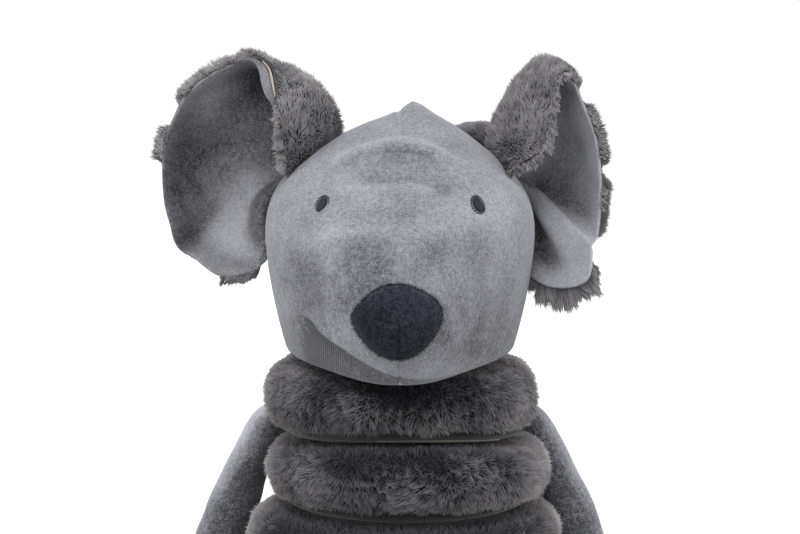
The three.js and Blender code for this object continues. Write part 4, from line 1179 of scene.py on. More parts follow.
def smooth_curve(stations, share, closed):
    """A curve through stations, spaced by the root of the distance between them, so that it never
    loops back between close stations. share runs from 0 to 1 along the stations."""
    count = len(stations)
    if closed:
        place_on = (share % 1) * count
        first = np.floor(place_on).astype(int) % count
        p0, p1, p2, p3 = (stations[(first + k) % count] for k in (-1, 0, 1, 2))
    else:
        place_on = np.clip(share, 0, 1) * (count - 1)
        first = np.minimum(np.floor(place_on).astype(int), count - 2)
        ends = np.concatenate([[2 * stations[0] - stations[1]], stations, [2 * stations[-1] - stations[-2]]])
        p0, p1, p2, p3 = (ends[first + k] for k in (0, 1, 2, 3))
    part = (place_on - np.floor(place_on) if closed else place_on - first)[..., None]
    spans = ((p0, p1), (p1, p2), (p2, p3))
    d0, d1, d2 = (np.sqrt(np.linalg.norm(b - a, axis=-1, keepdims=True)) for a, b in spans)
    t1 = ((p1 - p0) / d0 - (p2 - p0) / (d0 + d1) + (p2 - p1) / d1) * d1
    t2 = ((p2 - p1) / d1 - (p3 - p1) / (d1 + d2) + (p3 - p2) / d2) * d1
    return p1 + t1 * part + (-3 * p1 + 3 * p2 - 2 * t1 - t2) * part**2 + (2 * p1 - 2 * p2 + t1 + t2) * part**3


def ear_fan(stations, side, around, out):
    """The ear's middle surface. around goes once round the rim and out from the throat to the rim,
    each on its own axis of the grid: a quadratic curve from throat to rim through the half-way
    point."""
    scale = np.array([side, 1, 1]) * EAR_SIZE
    throat = THROAT * np.array([side, 1, 1])
    table = np.asarray(stations) * scale + throat
    rim = smooth_curve(table[:, 0], around, True)[:, None]
    half = smooth_curve(table[:, 1], around, True)[:, None]
    pull = 2 * half - throat / 2 - rim / 2
    out = out[None, :, None]
    return (1 - out) ** 2 * throat + 2 * (1 - out) * out * pull + out**2 * rim


# %% [markdown]
# The cloth of a cup isn't smooth. Beside the head it drops into a valley, next to it stands a ridge
# that catches the light, and a crease runs out to the rim. Each is a push along the surface's
# direction, as a bell across one station of the rim, and each paints its own shade into the
# lining: darker in a valley, lighter on a ridge.

# %% Folds of the ears
EAR_STATIONS = 13
# A fold runs from one station near the throat to one at the rim. Each row is: the two stations, the
# width before and after it, the push towards the viewer in millimetres, the painted shade (darker
# below 0, lighter above), and from where to where it reaches, as shares of the way out
RIGHT_FOLDS = (
    (7.4, 10.1, 1.3, 0.34, 3.6, 0.1, 0.06, 1.3), (7.3, 9.5, 1.4, 0.5, 0.0, 0.36, 0.04, 0.92),
    (8.6, 10.9, 0.28, 0.3, -2.2, -0.44, 0.06, 1.15), (9.5, 11.6, 0.4, 0.8, 1.8, 0.46, 0.06, 1.3),
    (3.3, 3.2, 0.9, 0.8, 4.2, 0.0, 0.25, 1.0), (7.0, 8.15, 0.32, 0.2, -2.6, -0.26, 0.45, 1.2),
    (7.6, 8.6, 0.45, 0.8, 1.4, 0.22, 0.4, 1.3), (6.9, 6.9, 0.7, 0.5, -0.6, -0.12, 0.55, 1.2),
    (5.5, 6.3, 0.45, 0.5, -1.8, -0.1, 0.35, 1.0), (4.9, 5.5, 0.6, 0.6, 1.2, 0.1, 0.45, 1.2),
    (3.6, 3.95, 0.35, 0.7, -3.2, -0.24, 0.3, 0.97), (3.0, 2.7, 0.7, 0.5, 0.8, 0.14, 0.6, 1.2),
    (4.4, 4.7, 0.7, 0.6, 0.8, 0.3, 0.6, 1.3),
)
LEFT_FOLDS = (
    (7.7, 7.72, 0.14, 1.3, 4.6, 0.22, 0.1, 1.3), (8.6, 9.2, 0.7, 1.0, 0.6, 0.18, 0.25, 1.3),
    (9.2, 9.9, 0.5, 1.2, -2.4, -0.55, 0.08, 0.95), (5.9, 5.9, 0.9, 0.9, -2.6, -0.06, 0.3, 0.9),
    (7.2, 7.25, 0.9, 0.2, -2.4, -0.34, 0.12, 1.0), (4.6, 4.8, 0.6, 0.7, 1.0, 0.16, 0.5, 1.1),
    (4.2, 3.9, 0.4, 0.5, -1.8, -0.16, 0.5, 1.0), (6.0, 6.0, 1.3, 1.3, 0.0, 0.2, 0.6, 1.3),
    (1.2, 1.5, 1.7, 1.5, 3.8, 0.0, 0.22, 1.04),
)
# How far the fur's edge shows past the velour at each station, in millimetres; below 0 it hides
RIGHT_FRINGE = (
    (0, 5), (1, 4.5), (1.6, 3), (1.9, -2), (3.4, -2), (3.7, 2), (4.4, 3), (5.0, 4), (5.3, 2.5), (5.5, -4),
    (5.85, -4), (6.0, 3.5), (6.35, 4.5), (6.55, -4), (7.3, -4), (7.5, 0), (7.7, -4), (8.3, -3), (8.45, 0),
    (8.6, -4), (9.0, -4), (9.2, 2), (9.9, 2.6), (10.15, -4), (11, -2), (12, 1), (13, 5),
)
LEFT_FRINGE = (
    (0, 5), (1, 5), (2, 4), (3, 3), (3.5, 4), (4.05, 3), (4.3, -3), (4.75, -2), (4.9, 4.5), (5.4, 5),
    (5.9, 5.5), (6.05, -2), (6.4, -2), (6.6, 2.5), (7.0, 2.5), (7.15, -3), (7.35, 1.5), (7.6, -3),
    (8.2, -3), (8.4, 3), (8.6, 8), (9.0, 8.5), (9.5, 11), (10.5, 12), (11.2, 10), (11.8, 3), (13, 5),
)
# Where the rim itself is let out, or drawn in below 0, from the frame's smooth line
RIGHT_TRIM = (
    (0, 0), (1.7, 0), (2.2, 3.6), (2.8, 5.4), (3.2, 2.6), (3.7, -3.2), (4.2, -3.6), (4.8, -1), (5.4, 0.8),
    (7.4, 1.2), (8.2, -0.4), (9, 1.6), (10, 0.8), (10.5, -1), (11, 0), (13, 0),
)
LEFT_TRIM = (
    (0, 1), (0.6, 2.4), (1.8, 2), (3.2, -0.5), (4, 0), (6.5, 0.3), (7.4, -0.6), (7.85, 1.8), (8.6, 2.2),
    (9.2, 0.8), (10, -0.6), (11, 0), (13, 1),
)
# How wide the velour is turned back over the fur side, with a peach tape along its edge
RIGHT_STRIP = ((0, 0), (1.75, 0), (2.1, 3.6), (2.8, 6.2), (3.15, 4.2), (3.6, 0), (13, 0))
LEFT_STRIP = ((0, 0), (13, 0))


def by_station(around, table, soft=0.17):
    """The value that a table of (station, value) gives at each place round the rim, averaged with
    what lies a little before and after it."""
    total = 0 * around
    for shift, share in ((-1, 0.25), (0, 0.5), (1, 0.25)):
        station = (around * EAR_STATIONS + shift * soft) % EAR_STATIONS
        total = total + share * np.interp(station, *np.transpose(table))
    return total


def fold_field(around, out, folds, shades):
    """The sum of the folds' pushes, or of their shades: a bell across a line of stations that turns
    from its first to its last, with a width of its own on each side, rising from one share out and
    fading at another."""
    total = 0 * around * out
    for near, far, before, after, push, shade, start, end in folds:
        line = near + (far - near) * step(out, 0.05, 1.0)
        away = (around * EAR_STATIONS - line + EAR_STATIONS / 2) % EAR_STATIONS - EAR_STATIONS / 2
        across = np.where(away < 0, bell(away, before), bell(away, after))
        amount = shade if shades else push
        total = total + amount * across * step(out, start, start + 0.3) * (1 - step(out, end - 0.2, end))
    return total


# %% The ear's folded surface
EAR_AROUND, EAR_OUT, HEM_COLUMNS = 312, 64, 6
HEM, HEM_TURN = 0.9, np.radians(165)
EAR_GRADED, THROAT_SHARE = 0.9, 0.012


def ear_shape(stations, side, folds, trim):
    """The folded surface of an ear as a grid (round the rim, out from the throat), its direction
    from velour to fur, and the way outwards at the rim."""
    around = np.linspace(0, 1, EAR_AROUND, endpoint=False)
    out = np.linspace(0, 1, EAR_OUT) ** EAR_GRADED
    out[0] = THROAT_SHARE
    fan = ear_fan(stations, side, around, out)
    normal = grid_normals(fan, -side, closed_rows=True)
    for _ in range(3):
        normal[:, 1:-1] = (normal[:, :-2] + normal[:, 1:-1] * 2 + normal[:, 2:]) / 4
    push = fold_field(around[:, None], out[None, :], folds, False)
    ripple = 0.3 * waves(fan, 19, 40 + side) * step(out, 0.2, 0.5)[None, :]
    rim_way = unit(fan[:, -1] - fan[:, -3])
    drawn = by_station(around, trim)[:, None] * step(out, 0.55, 1.0)[None, :]
    fan = fan - normal * (push + ripple)[..., None] + rim_way[:, None] * drawn[..., None]
    normal = grid_normals(fan, -side, closed_rows=True)
    return around, out, fan, normal, unit(fan[:, -1] - fan[:, -3])


def cut_away(piece, hidden):
    """Removes the faces whose every corner is hidden inside the head, and the points left over."""
    work = bmesh.new()
    work.from_mesh(piece.data)
    work.verts.ensure_lookup_table()
    gone = [f for f in work.faces if all(hidden[v.index] for v in f.verts)]
    bmesh.ops.delete(work, geom=gone, context="FACES")
    work.to_mesh(piece.data)
    work.free()


def ear_seam(piece):
    """Bakes an ear cloth's place into its points."""
    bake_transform(piece)


# %% [markdown]
# The velour lines the cup. At the rim it turns back in a rounded hem, further where the right ear
# shows a strip of it. What lies inside the head is cut away.

# %% Ear lining
HIDDEN_DEPTH = -1.2


def ear_lining(name, side, shape, folds, strip, base_shade):
    """The velour of one ear: its surface with the hem, the painted shade from its folds, and its wall."""
    around, out_share, fan, normal, rim_way = shape
    turn = np.linspace(0, HEM_TURN, HEM_COLUMNS + 1)[1:]
    hem = fan[:, -1:] + rim_way[:, None] * (HEM * np.sin(turn))[None, :, None]
    hem = hem + normal[:, -1:] * (HEM * (1 - np.cos(turn)))[None, :, None]
    back = np.linspace(-0.3, 1, HEM_COLUMNS).clip(0)
    hem = hem - rim_way[:, None] * (by_station(around, strip)[:, None] * back)[..., None]
    cloth = np.concatenate([fan, hem], 1)
    # Painted shade and highlight from the folds, and a painted highlight a little lighter along the rim
    shade = base_shade + fold_field(around[:, None], out_share[None, :], folds, True)
    shade = shade + 0.06 * step(out_share, 0.9, 1.0)[None, :] + 0.03 * waves(fan, 15, 5)
    shade = np.concatenate([shade, np.repeat(shade[:, -1:], HEM_COLUMNS, 1)], 1)
    faces = grid_faces(EAR_AROUND, cloth.shape[1], round_rows=True)
    if side < 0:
        faces = faces[:, ::-1]
    lining = make_piece(name + "_lining", cloth, faces, ear_velour, {"nap_and_shade": shade})
    in_hem = np.zeros((EAR_AROUND, HEM_COLUMNS), bool)
    cut_away(lining, np.concatenate([inside_head(fan) < HIDDEN_DEPTH, in_hem], 1).ravel())
    thicken(lining, EAR_VELOUR * 0.6)
    ear_seam(lining)
    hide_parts(name + "_velour")
    return lining


# %% [markdown]
# The fur cloth lies behind the velour. Where its edge hides it is drawn in, and its pile lies flat.
# Where it shows, longer strands along the edge make a fringe, in locks that differ in length.

# %% Fur of an ear
EAR_TUFTS, FRINGE_TUFTS = 22500, 4200
FIRST_COLUMN = 5
# The fringe catches the light from above and ahead, so its shading is drawn that way
FRINGE_FACING = np.array([0, -0.9, 0.7])


def ear_tufts(side, shape, show, far, rng):
    """The pile of the fur cloth, grown only where the cloth is outside the head."""
    out_share, normal = shape[1], shape[3]
    grid = np.concatenate([far, far[:1]])
    out_grid = np.concatenate([normal[:, FIRST_COLUMN:], normal[:1, FIRST_COLUMN:]])
    share_grid = np.broadcast_to(out_share[None, FIRST_COLUMN:], grid.shape[:2])
    show_grid = np.broadcast_to(np.concatenate([show, show[:1]])[:, None], grid.shape[:2])
    level = inside_head(grid)
    density = (level > 0.4) * (1 + 0.4 * step(share_grid, 0.86, 1.0))
    fields = (share_grid, level, show_grid)
    roots, out, (share, depth, shown) = scatter(grid, out_grid, EAR_TUFTS, 7 + side, density, fields)
    outward = roots - THROAT * np.array([side, 1, 1])
    outward = unit(outward - out * (outward * out).sum(-1, keepdims=True), 1e-6)
    edge = step(share, 0.76, 0.97)
    hides = edge * step(-shown, 0, 2)
    lean = outward * (0.5 + 0.2 * waves(roots, 20, 5) + 0.8 * (edge - hides) - 1.3 * hides)[:, None]
    lean += np.cross(out, outward) * (0.35 * waves(roots, 25, 6))[:, None]
    length = EAR_FUR * (0.95 + 0.1 * waves(roots, 12, 8) + 0.1 * rng.normal(size=EAR_TUFTS))
    length = length * (1 - 0.68 * hides)
    tone = 0.65 + 0.12 * waves(roots, 22, 9)
    keep = depth > 0.5
    kept = (part[keep] for part in (roots, out, lean, length, tone))
    return grow(*kept, 19 + side, lock_size=6.0, lock_pull=0.6, width=0.74)


def ear_fringe(side, shape, fringe, rng):
    """Strands along the rim wherever the fringe shows, longer where it is wider. They hang a little."""
    fan, normal, rim_way = shape[2:]
    spots = rng.random(FRINGE_TUFTS * 3)
    shown = by_station(spots, fringe)
    spots = spots[rng.random(len(shown)) < step(shown, 0, 2)][:FRINGE_TUFTS]
    shown = by_station(spots, fringe)
    row = spots * EAR_AROUND
    low = np.floor(row).astype(int) % EAR_AROUND
    part = (row - np.floor(row))[:, None]
    high = (low + 1) % EAR_AROUND
    root = fan[low, -1] * (1 - part) + fan[high, -1] * part
    out = normal[low, -1] * (1 - part) + normal[high, -1] * part
    way = rim_way[low] * (1 - part) + rim_way[high] * part
    depth = rng.random(len(root))
    root = root + out * (0.7 + 2.6 * depth)[:, None] - way * (0.8 * rng.random(len(depth)))[:, None]
    leaves = unit(way + out * (0.15 + 1.1 * depth)[:, None])
    lean = way * 0.6 - UP * 0.35 + 0.2 * rng.normal(size=root.shape)
    lean = lean + 0.5 * np.cross(out, way) * waves(root, 9, 12)[:, None]
    length = (1.2 + shown) * (0.85 + 0.22 * waves(root, 6, 13) + 0.12 * rng.normal(size=len(depth)))
    tone = 0.92 + 0.14 * waves(root, 9, 14)
    return grow(
        root, leaves, lean, np.clip(length, 1.5, 15), tone, 29 + side,
        lock_size=4.0, lock_pull=1.2, width=0.8, uneven=0.09, facing=FRINGE_FACING,
    )


def ear_pile(name, side, shape, fringe, strip):
    """The fur cloth of one ear: its backing, its pile and its fringe."""
    around, out_share, fan, normal, rim_way = shape
    show = by_station(around, fringe)
    ramp = step(out_share, 0.6, 1.0)[None, :]
    drawn = (np.clip(show, -2.6, 0) + 0.4 - 1.1 * by_station(around, strip))[:, None] * ramp
    reach = rim_way[:, None] * drawn[..., None]
    near = (fan + normal * (EAR_VELOUR + 0.1) + reach)[:, FIRST_COLUMN:]
    far = (fan + normal * (EAR_VELOUR + 1.1) + reach)[:, FIRST_COLUMN:]
    rng = np.random.default_rng(17 + side)
    tufts = [ear_tufts(side, shape, show, far, rng), ear_fringe(side, shape, fringe, rng)]
    skin = np.concatenate([near, far[:, ::-1]], 1)[::2]
    pile = fur_piece(name + "_pile", skin, (True, True), tufts, skin_tone=0.5)
    ear_seam(pile)
    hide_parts(name + "_fur")
    return pile


# %% Both ears
# The last number is the lining's base of painted shade: the right ear's cup is darker, as it lies in shade
EARS = (
    ("ear_left", LEFT_EAR, 1, LEFT_FOLDS, LEFT_FRINGE, LEFT_TRIM, LEFT_STRIP, 0.56),
    ("ear_right", RIGHT_EAR, -1, RIGHT_FOLDS, RIGHT_FRINGE, RIGHT_TRIM, RIGHT_STRIP, 0.24),
)
for name, stations, side, folds, fringe, trim, strip, base_shade in EARS:
    shape = ear_shape(stations, side, folds, trim)
    lining = ear_lining(name, side, shape, folds, strip, base_shade)
    pile = ear_pile(name, side, shape, fringe, strip)
    print(name, "lining", len(lining.data.polygons), "faces, pile", len(pile.data.polygons), "triangles")

# %% [markdown]
# Where the left ear is sewn in, its fur bunches into a small roll along the seam. On the right ear
# a peach tape edges the strip that is turned back. Cloth doesn't stretch, so a lining's flat cut, a
# round piece with a pleat at the throat, has the area of its folded surface.

# %% Roll of fur at the root of the left ear
ROLL_LINE = np.array([(24, 12, 296), (30, 12, 296.5), (37, 12, 297), (44, 12, 296.5), (50, 10, 293)])
ROLL_RADIUS, ROLL_STEPS, ROLL_TUFTS = 4.2, 40, 2600
# A tube along the seam that tapers to a point at both ends and is half sunk in the head
share = np.linspace(0, 1, ROLL_STEPS)
fine = smooth_curve(ROLL_LINE, share, False)
along = unit(np.gradient(fine, axis=0))
ahead = np.array([0.0, -1.0, 0.0])
third = unit(np.cross(along, ahead))
turn = np.linspace(0, 2 * np.pi, 25)
ring = third[:, None] * np.cos(turn)[:, None] + ahead * np.sin(turn)[:, None]
radius = ROLL_RADIUS * (1 - np.abs(2 * share - 1) ** 3) ** 0.6 * (0.55 + 0.45 * share) + 0.02
grid = fine[:, None] + radius[:, None, None] * ring
roots, out, _ = scatter(grid, ring, ROLL_TUFTS, 77)
lean = np.array([-0.2, -0.1, 0.1]) + 0.3 * waves(roots, 9, 81)[:, None] * np.array([1, 0, 0])
length = 3.2 + 0.4 * waves(roots, 8, 78)
tone = 0.6 + 0.12 * waves(roots, 9, 79)
root_tufts = grow(roots, out, lean, length, tone, 80, lock_pull=0.7, width=0.7)
root = fur_piece("ear_left_root_pile", grid[:, :-1], (False, True), [root_tufts], skin_tone=0.35)
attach(root, "head")

# %% Peach tape of the right ear
TAPE_FROM, TAPE_TO = 2.02, 3.3
around, out_share, fan, normal, rim_way = ear_shape(RIGHT_EAR, -1, RIGHT_FOLDS, RIGHT_TRIM)
row = slice(int(TAPE_FROM / EAR_STATIONS * EAR_AROUND), int(TAPE_TO / EAR_STATIONS * EAR_AROUND))
turned = by_station(around, RIGHT_STRIP)[row, None]
inset = np.linspace(-0.7, 0.5, 4) * bell(np.linspace(-1, 1, len(turned)), 0.9)[:, None]
lifted = fan[row, -1:] - rim_way[row, None] * (turned + inset)[..., None]
lifted = lifted + normal[row, -1:] * (2 * HEM + 0.35)
tape_grid = np.concatenate([lifted, lifted[:, ::-1] + normal[row, -1:] * 0.5], 1)
peach_look = knit("peach seam tape", grey(150, (1, 0.84, 0.72)), grey(212, (1, 0.86, 0.76)))
edge_tape = sheet_piece("ear_right_seam_tape", tape_grid, peach_look, round_columns=True)
ear_seam(edge_tape)

# %% Flat sizes of the ears
# A round piece is about this much wider than a square of the same area
ROUND_WIDTH = 1.12
ON_LININGS = {"ear_left": ["ear_left_pile"], "ear_right": ["ear_right_pile", "ear_right_seam_tape"]}
for name, parts in ON_LININGS.items():
    lining = bpy.data.objects[name + "_lining"]
    area = cloth_area(lining)
    across = ROUND_WIDTH * area**0.5
    print(name, "is cut from", round(across * 1000), "mm square,", round(area * 1e4), "square centimetres")

# %% [markdown]
# ## Limbs
#
# Arms, legs and tail are tubes of velour, stuffed softly. A limb is a round section carried along a
# smooth route, with its own girth along the way and rounded ends. A stuffed tube isn't that even, so
# the arms and legs are then blown up by Cloth with air pressure, as filling presses on a sewn cover:
# each starts a little thin, swells for 20 frames without gravity, and no point may move further than
# 1.6 mm. The seam comes after that, as a shallow groove along the underside.

# %% Limb formula
def limb_tube(route, girth, flat, inset=0.0, steps=90, sides=48):
    """A tube along a route. route is the stations of its middle line, girth the radii along it, and
    flat a direction square to the line. Both ends are closed by half balls."""
    fine = smooth_curve(route, np.linspace(0, 1, 600), False)
    travelled = np.concatenate([[0], np.cumsum(np.linalg.norm(np.diff(fine, axis=0), axis=1))])
    length = travelled[-1]
    start, end = girth[0] - inset, girth[-1] - inset
    cap = 1 - np.cos(np.linspace(0, np.pi / 2, 10))
    middle_part = np.linspace(inset + start, length - inset - end, steps)[1:-1]
    distance = np.concatenate([inset + start * cap, middle_part, length - inset - end * cap[::-1]])
    centre = np.stack([np.interp(distance, travelled, fine[:, k]) for k in range(3)], -1)
    slopes = [np.gradient(fine[:, k], travelled) for k in range(3)]
    along = unit(np.stack([np.interp(distance, travelled, slope) for slope in slopes], -1))
    across = unit(np.cross(along, flat))
    stations = np.stack([np.linspace(0, 1, len(girth)), girth, 0 * np.asarray(girth)], -1).astype(float)
    full = smooth_curve(stations, distance / length, False)[:, 1]
    nearest_end = np.clip(np.minimum(distance, length - distance) - inset, 0, None)
    open_share = np.clip(1 - nearest_end / (full - inset), 0, 1)
    radius = (full - inset) * np.sqrt(np.clip(1 - open_share**2, 0, 1))
    turn = np.linspace(0, 2 * np.pi, sides, endpoint=False)
    ring = flat * np.cos(turn)[:, None] + across[:, None] * np.sin(turn)[:, None]
    return centre[:, None] + radius[:, None, None] * ring, distance / length


# %% Swelling with Cloth
def settled(piece):
    """Replaces a piece's mesh by what its modifiers make of it at this frame, and removes them."""
    made = bpy.data.meshes.new_from_object(piece.evaluated_get(bpy.context.evaluated_depsgraph_get()))
    piece.modifiers.clear()
    old, piece.data = piece.data, made
    bpy.data.meshes.remove(old)
    return np.array([v.co[:] for v in made.vertices]) / MM


def swell(piece, most=1.6, pressure=3.0, voxel=3.5, frames=20):
    """Fills a closed cover with air: an even remesh, then Cloth with pressure and no gravity.
    Each point's way is shortened to the most it may move."""
    remesh = piece.modifiers.new("even mesh", "REMESH")
    remesh.mode, remesh.voxel_size, remesh.use_smooth_shade = "VOXEL", voxel * MM, True
    before = settled(piece)
    cloth = piece.modifiers.new("cloth", "CLOTH")
    cloth.settings.quality = 6
    cloth.settings.mass = 0.25
    cloth.settings.use_pressure = True
    cloth.settings.uniform_pressure_force = pressure
    cloth.settings.tension_stiffness = cloth.settings.compression_stiffness = 12
    cloth.settings.bending_stiffness = 0.15
    cloth.settings.effector_weights.gravity = 0
    for number in range(1, frames + 1):
        scene.frame_set(number)
    after = settled(piece)
    scene.frame_set(1)
    way = after - before
    far = np.linalg.norm(way, axis=1)
    way *= (np.minimum(far, most) / np.maximum(far, 1e-9))[:, None]
    piece.data.vertices.foreach_set("co", ((before + way) * MM).astype(np.float32).ravel())
    piece.data.update()
    print(piece.name, "swelled by", round(float(np.median(far)), 2), "mm, most", round(float(far.max()), 2))
    finer = piece.modifiers.new("finer", "SUBSURF")
    finer.levels = finer.render_levels = 1
    settled(piece)
    return piece


def points_of(piece):
    """The points of a piece in millimetres, and its outward direction at each."""
    count = len(piece.data.vertices)
    places, out = np.zeros(count * 3, np.float32), np.zeros(count * 3, np.float32)
    piece.data.vertices.foreach_get("co", places)
    piece.data.vertices.foreach_get("normal", out)
    return places.reshape(-1, 3).astype(float) / MM, out.reshape(-1, 3).astype(float)


def reshape_piece(piece, points, values=None):
    """Moves a piece's points, given in millimetres, and stores numbers per point."""
    piece.data.vertices.foreach_set("co", (points * MM).astype(np.float32).ravel())
    store(piece.data, values)
    piece.data.polygons.foreach_set("use_smooth", np.ones(len(piece.data.polygons), bool))
    piece.data.update()
    return piece


# %% [markdown]
# An arm's root is tucked in between the rings.
# Slack cloth and pinches at the shoulder and the elbow keep it from looking like a pipe.

# %% Arms
SHOULDER = np.array([71.6, 28, 139])
ARM_SPREAD, ARM_DROP = 35, 125
# The middle line from the hand to the shoulder, as shares of the spread and of the drop
ARM_ROUTE = (
    (1, 1), (0.97, 0.83), (0.87, 0.66), (0.71, 0.49), (0.54, 0.36), (0.4, 0.26), (0.26, 0.16), (0.12, 0.065),
    (0, 0), (-0.13, -0.066),
)
ARM_GIRTH, ARM_ROOT_GIRTH = (15.5, 15.5, 13.4, 13.9, 14.0, 12.0, 10.4), (9.2, 6.5)
ARM_ROOT = ((61.5, 27, 145.2), (54, 24, 145.4))


def arm_line(side):
    """The stations of an arm's middle line in millimetres, from the hand to the shoulder."""
    middle = [(SHOULDER[0] + o * ARM_SPREAD, SHOULDER[2] - d * ARM_DROP) for o, d in ARM_ROUTE]
    return [(side * x, SHOULDER[1], z) for x, z in middle]


for side, name in ((1, "arm_left"), (-1, "arm_right")):
    route = np.array(arm_line(side) + [(side * x, y, z) for x, y, z in ARM_ROOT])
    reach = np.append(np.linspace(0, 1, len(ARM_GIRTH)), (1.06, 1.13))
    girth = np.interp(np.linspace(0, 1.13, 15), reach, ARM_GIRTH + ARM_ROOT_GIRTH) + 0.3
    tube, _ = limb_tube(route, girth, np.array([0.0, side, 0.0]), inset=1.0)
    arm = swell(sheet_piece(name + "_velour", tube, limb_velour, round_columns=True))
    points, out = points_of(arm)
    outward, upward = side * out[:, 0], out[:, 2]
    down = (SHOULDER[2] - points[:, 2]) / ARM_DROP
    out_there = np.interp(down, *np.transpose(ARM_ROUTE[::-1])[::-1])
    across = side * points[:, 0] - SHOULDER[0] - ARM_SPREAD * out_there
    slack = 0.25 * waves(points * np.array([0.6, 1, 1.3]), 26, 3 + side)
    pinch = -0.8 * bell(down - 0.1, 0.03) * step(-outward, 0.2, 0.8)
    pinch += -0.7 * bell(down - 0.34 - 0.06 * out[:, 1], 0.025) * step(-outward, 0.2, 0.9)
    groove = -0.9 * bell(points[:, 1] - SHOULDER[1] - 3, 1.3) * step(-outward, 0.3, 0.8)
    # Painted light: the outer side of the arm is lighter, where light grazes the velour, and the top near the
    # shoulder is lit
    lit_top = (0.5 - 0.22 * side) * step(upward, 0.0, 0.7) * (1 - step(down, 0.12, 0.42))
    nap_and_shade = 0.05 + 0.3 * step(outward, 0.1, 1) + lit_top
    nap_and_shade += 0.08 * step(-outward, 0.6, 1) + 0.08 * waves(points, 26, 2) + 0.05 * bell(across, 5)
    reshape_piece(arm, points + out * (slack + pinch + groove)[:, None], {"nap_and_shade": nap_and_shade})
    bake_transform(arm)
    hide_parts(name + "_cover")
    print(name, len(arm.data.polygons), "faces")

# %% [markdown]
# The legs lie straight ahead on the floor, splayed a little, and are flat where they rest on it. The
# tail starts behind the base and bends round on the floor, thinner towards its tip.

# %% Legs
HIP_OUT, HIP_FRONT, HIP_HEIGHT, SPLAY, LEG_LENGTH, LEG_ROUND = 44, 77, 18.0, np.radians(12), 96, 19
LEG_GIRTH = (18.5, 18.5, 18.1, 18, 18.4, 18.8)


def leg_line(side):
    """A leg's direction, its hip, and the stations of its middle line from the foot to the heel."""
    ahead = np.array([side * np.sin(SPLAY), -np.cos(SPLAY), 0])
    hip = np.array([side * HIP_OUT, -HIP_FRONT, HIP_HEIGHT])
    foot, heel = hip + ahead * (LEG_LENGTH - LEG_ROUND), hip - ahead * LEG_ROUND
    return ahead, hip, np.array([foot, (foot + heel) / 2, heel])


for side, name in ((1, "leg_left"), (-1, "leg_right")):
    ahead, hip, route = leg_line(side)
    tube, _ = limb_tube(route, LEG_GIRTH, UP, inset=1.0)
    leg = swell(sheet_piece(name + "_velour", tube, limb_velour, round_columns=True))
    points, out = points_of(leg)
    along = (points - hip) @ ahead
    slack = 0.35 * waves(points, 24, 8 + side)
    crease = -0.6 * bell(along - 8 - 3 * out[:, 0], 2.5) * step(out[:, 2], 0, 0.7)
    groove = -0.9 * bell((points - hip) @ np.cross(ahead, UP), 1.3) * step(-out[:, 2], 0.2, 0.7)
    # Painted light: the upper side of the leg is lighter, as lit from above
    nap_and_shade = 0.28 + 0.25 * step(out[:, 2], 0, 0.9) + 0.08 * waves(points, 34, 4)
    points = points + out * (slack + crease + groove)[:, None]
    points[:, 2] = np.maximum(points[:, 2], 0.03 + 0.25 * (1 - bell(out[:, 2] + 1, 0.6)))
    reshape_piece(leg, points, {"nap_and_shade": nap_and_shade})
    place(leg, name, name + "_cover", "velour", 0.6)
    print(name, len(leg.data.polygons), "faces")

# %% Tail
TAIL_LENGTH, TAIL_BEND, TAIL_ROOT, TAIL_TIP, TAIL_START = 132, np.radians(75), 8, 4.2, 73.8
bend_radius = TAIL_LENGTH / TAIL_BEND
shares = np.linspace(0, 1, 6)
turn = TAIL_BEND * shares
tail_route = np.stack([
    bend_radius * (1 - np.cos(turn)), TAIL_START - TAIL_ROOT + bend_radius * np.sin(turn),
    TAIL_ROOT - 0.5 + (TAIL_TIP - TAIL_ROOT) * step(shares, 0, 1),
], -1)[::-1]
tail_girth = (TAIL_TIP, TAIL_TIP, (TAIL_TIP + TAIL_ROOT) / 2, TAIL_ROOT, TAIL_ROOT)
tube, _ = limb_tube(tail_route, tail_girth, UP, steps=160, sides=36)
tail = sheet_piece("tail_velour", tube, limb_velour, round_columns=True)
points, out = points_of(tail)
crease = -0.2 * step(np.sin(points @ np.array([0.42, 0.5, 0.0]) + 1.5 * waves(points, 30, 6)), 0.4, 1)
groove = -0.6 * bell(out[:, 2] + 0.2, 0.12) * step(out[:, 0], 0.2, 0.6)
# Painted light: the upper side of the tail is lighter, as lit from above
nap_and_shade = 0.3 + 0.22 * step(out[:, 2], 0, 0.9) + 0.05 * waves(points, 26, 6)
points = points + out * (crease + groove)[:, None]
points[:, 2] = np.maximum(points[:, 2], 0.03)
reshape_piece(tail, points, {"nap_and_shade": nap_and_shade})
place(tail, "tail", "tail", "velour", 0.6)
print("tail", len(tail.data.polygons), "faces")

# %% [markdown]
# ## Inside
#
# Polyester filling is a springy mass of white fibre. Inside a closed toy nobody sees it, but the
# part can be taken apart, so each lump is a closed form that fits the cover round it, a little lumpy
# and finely fibrous. The squeaker's plastic pieces keep the frame's shapes and get a finish.

# %% Filling finish
filling_look, filling_tree, filling_shader = new_material("white fibre filling")
fibre_place = own_place(filling_tree)
clumps = noise_at(filling_tree, fibre_place, 160.0, 4.0, 1.5)
fibres = noise_at(filling_tree, fibre_place, 900.0, 3.0, 3.0)
fibre_colour = blend_colours(filling_tree, clumps, grey(186), grey(240))
fibre_height = maths(filling_tree, "ADD", clumps, fibres)
coat(filling_tree, filling_shader, fibre_colour, fibre_height, 0.8, 0.0012)
finish(filling_shader, Roughness=1.0, Sheen_Weight=0.5)


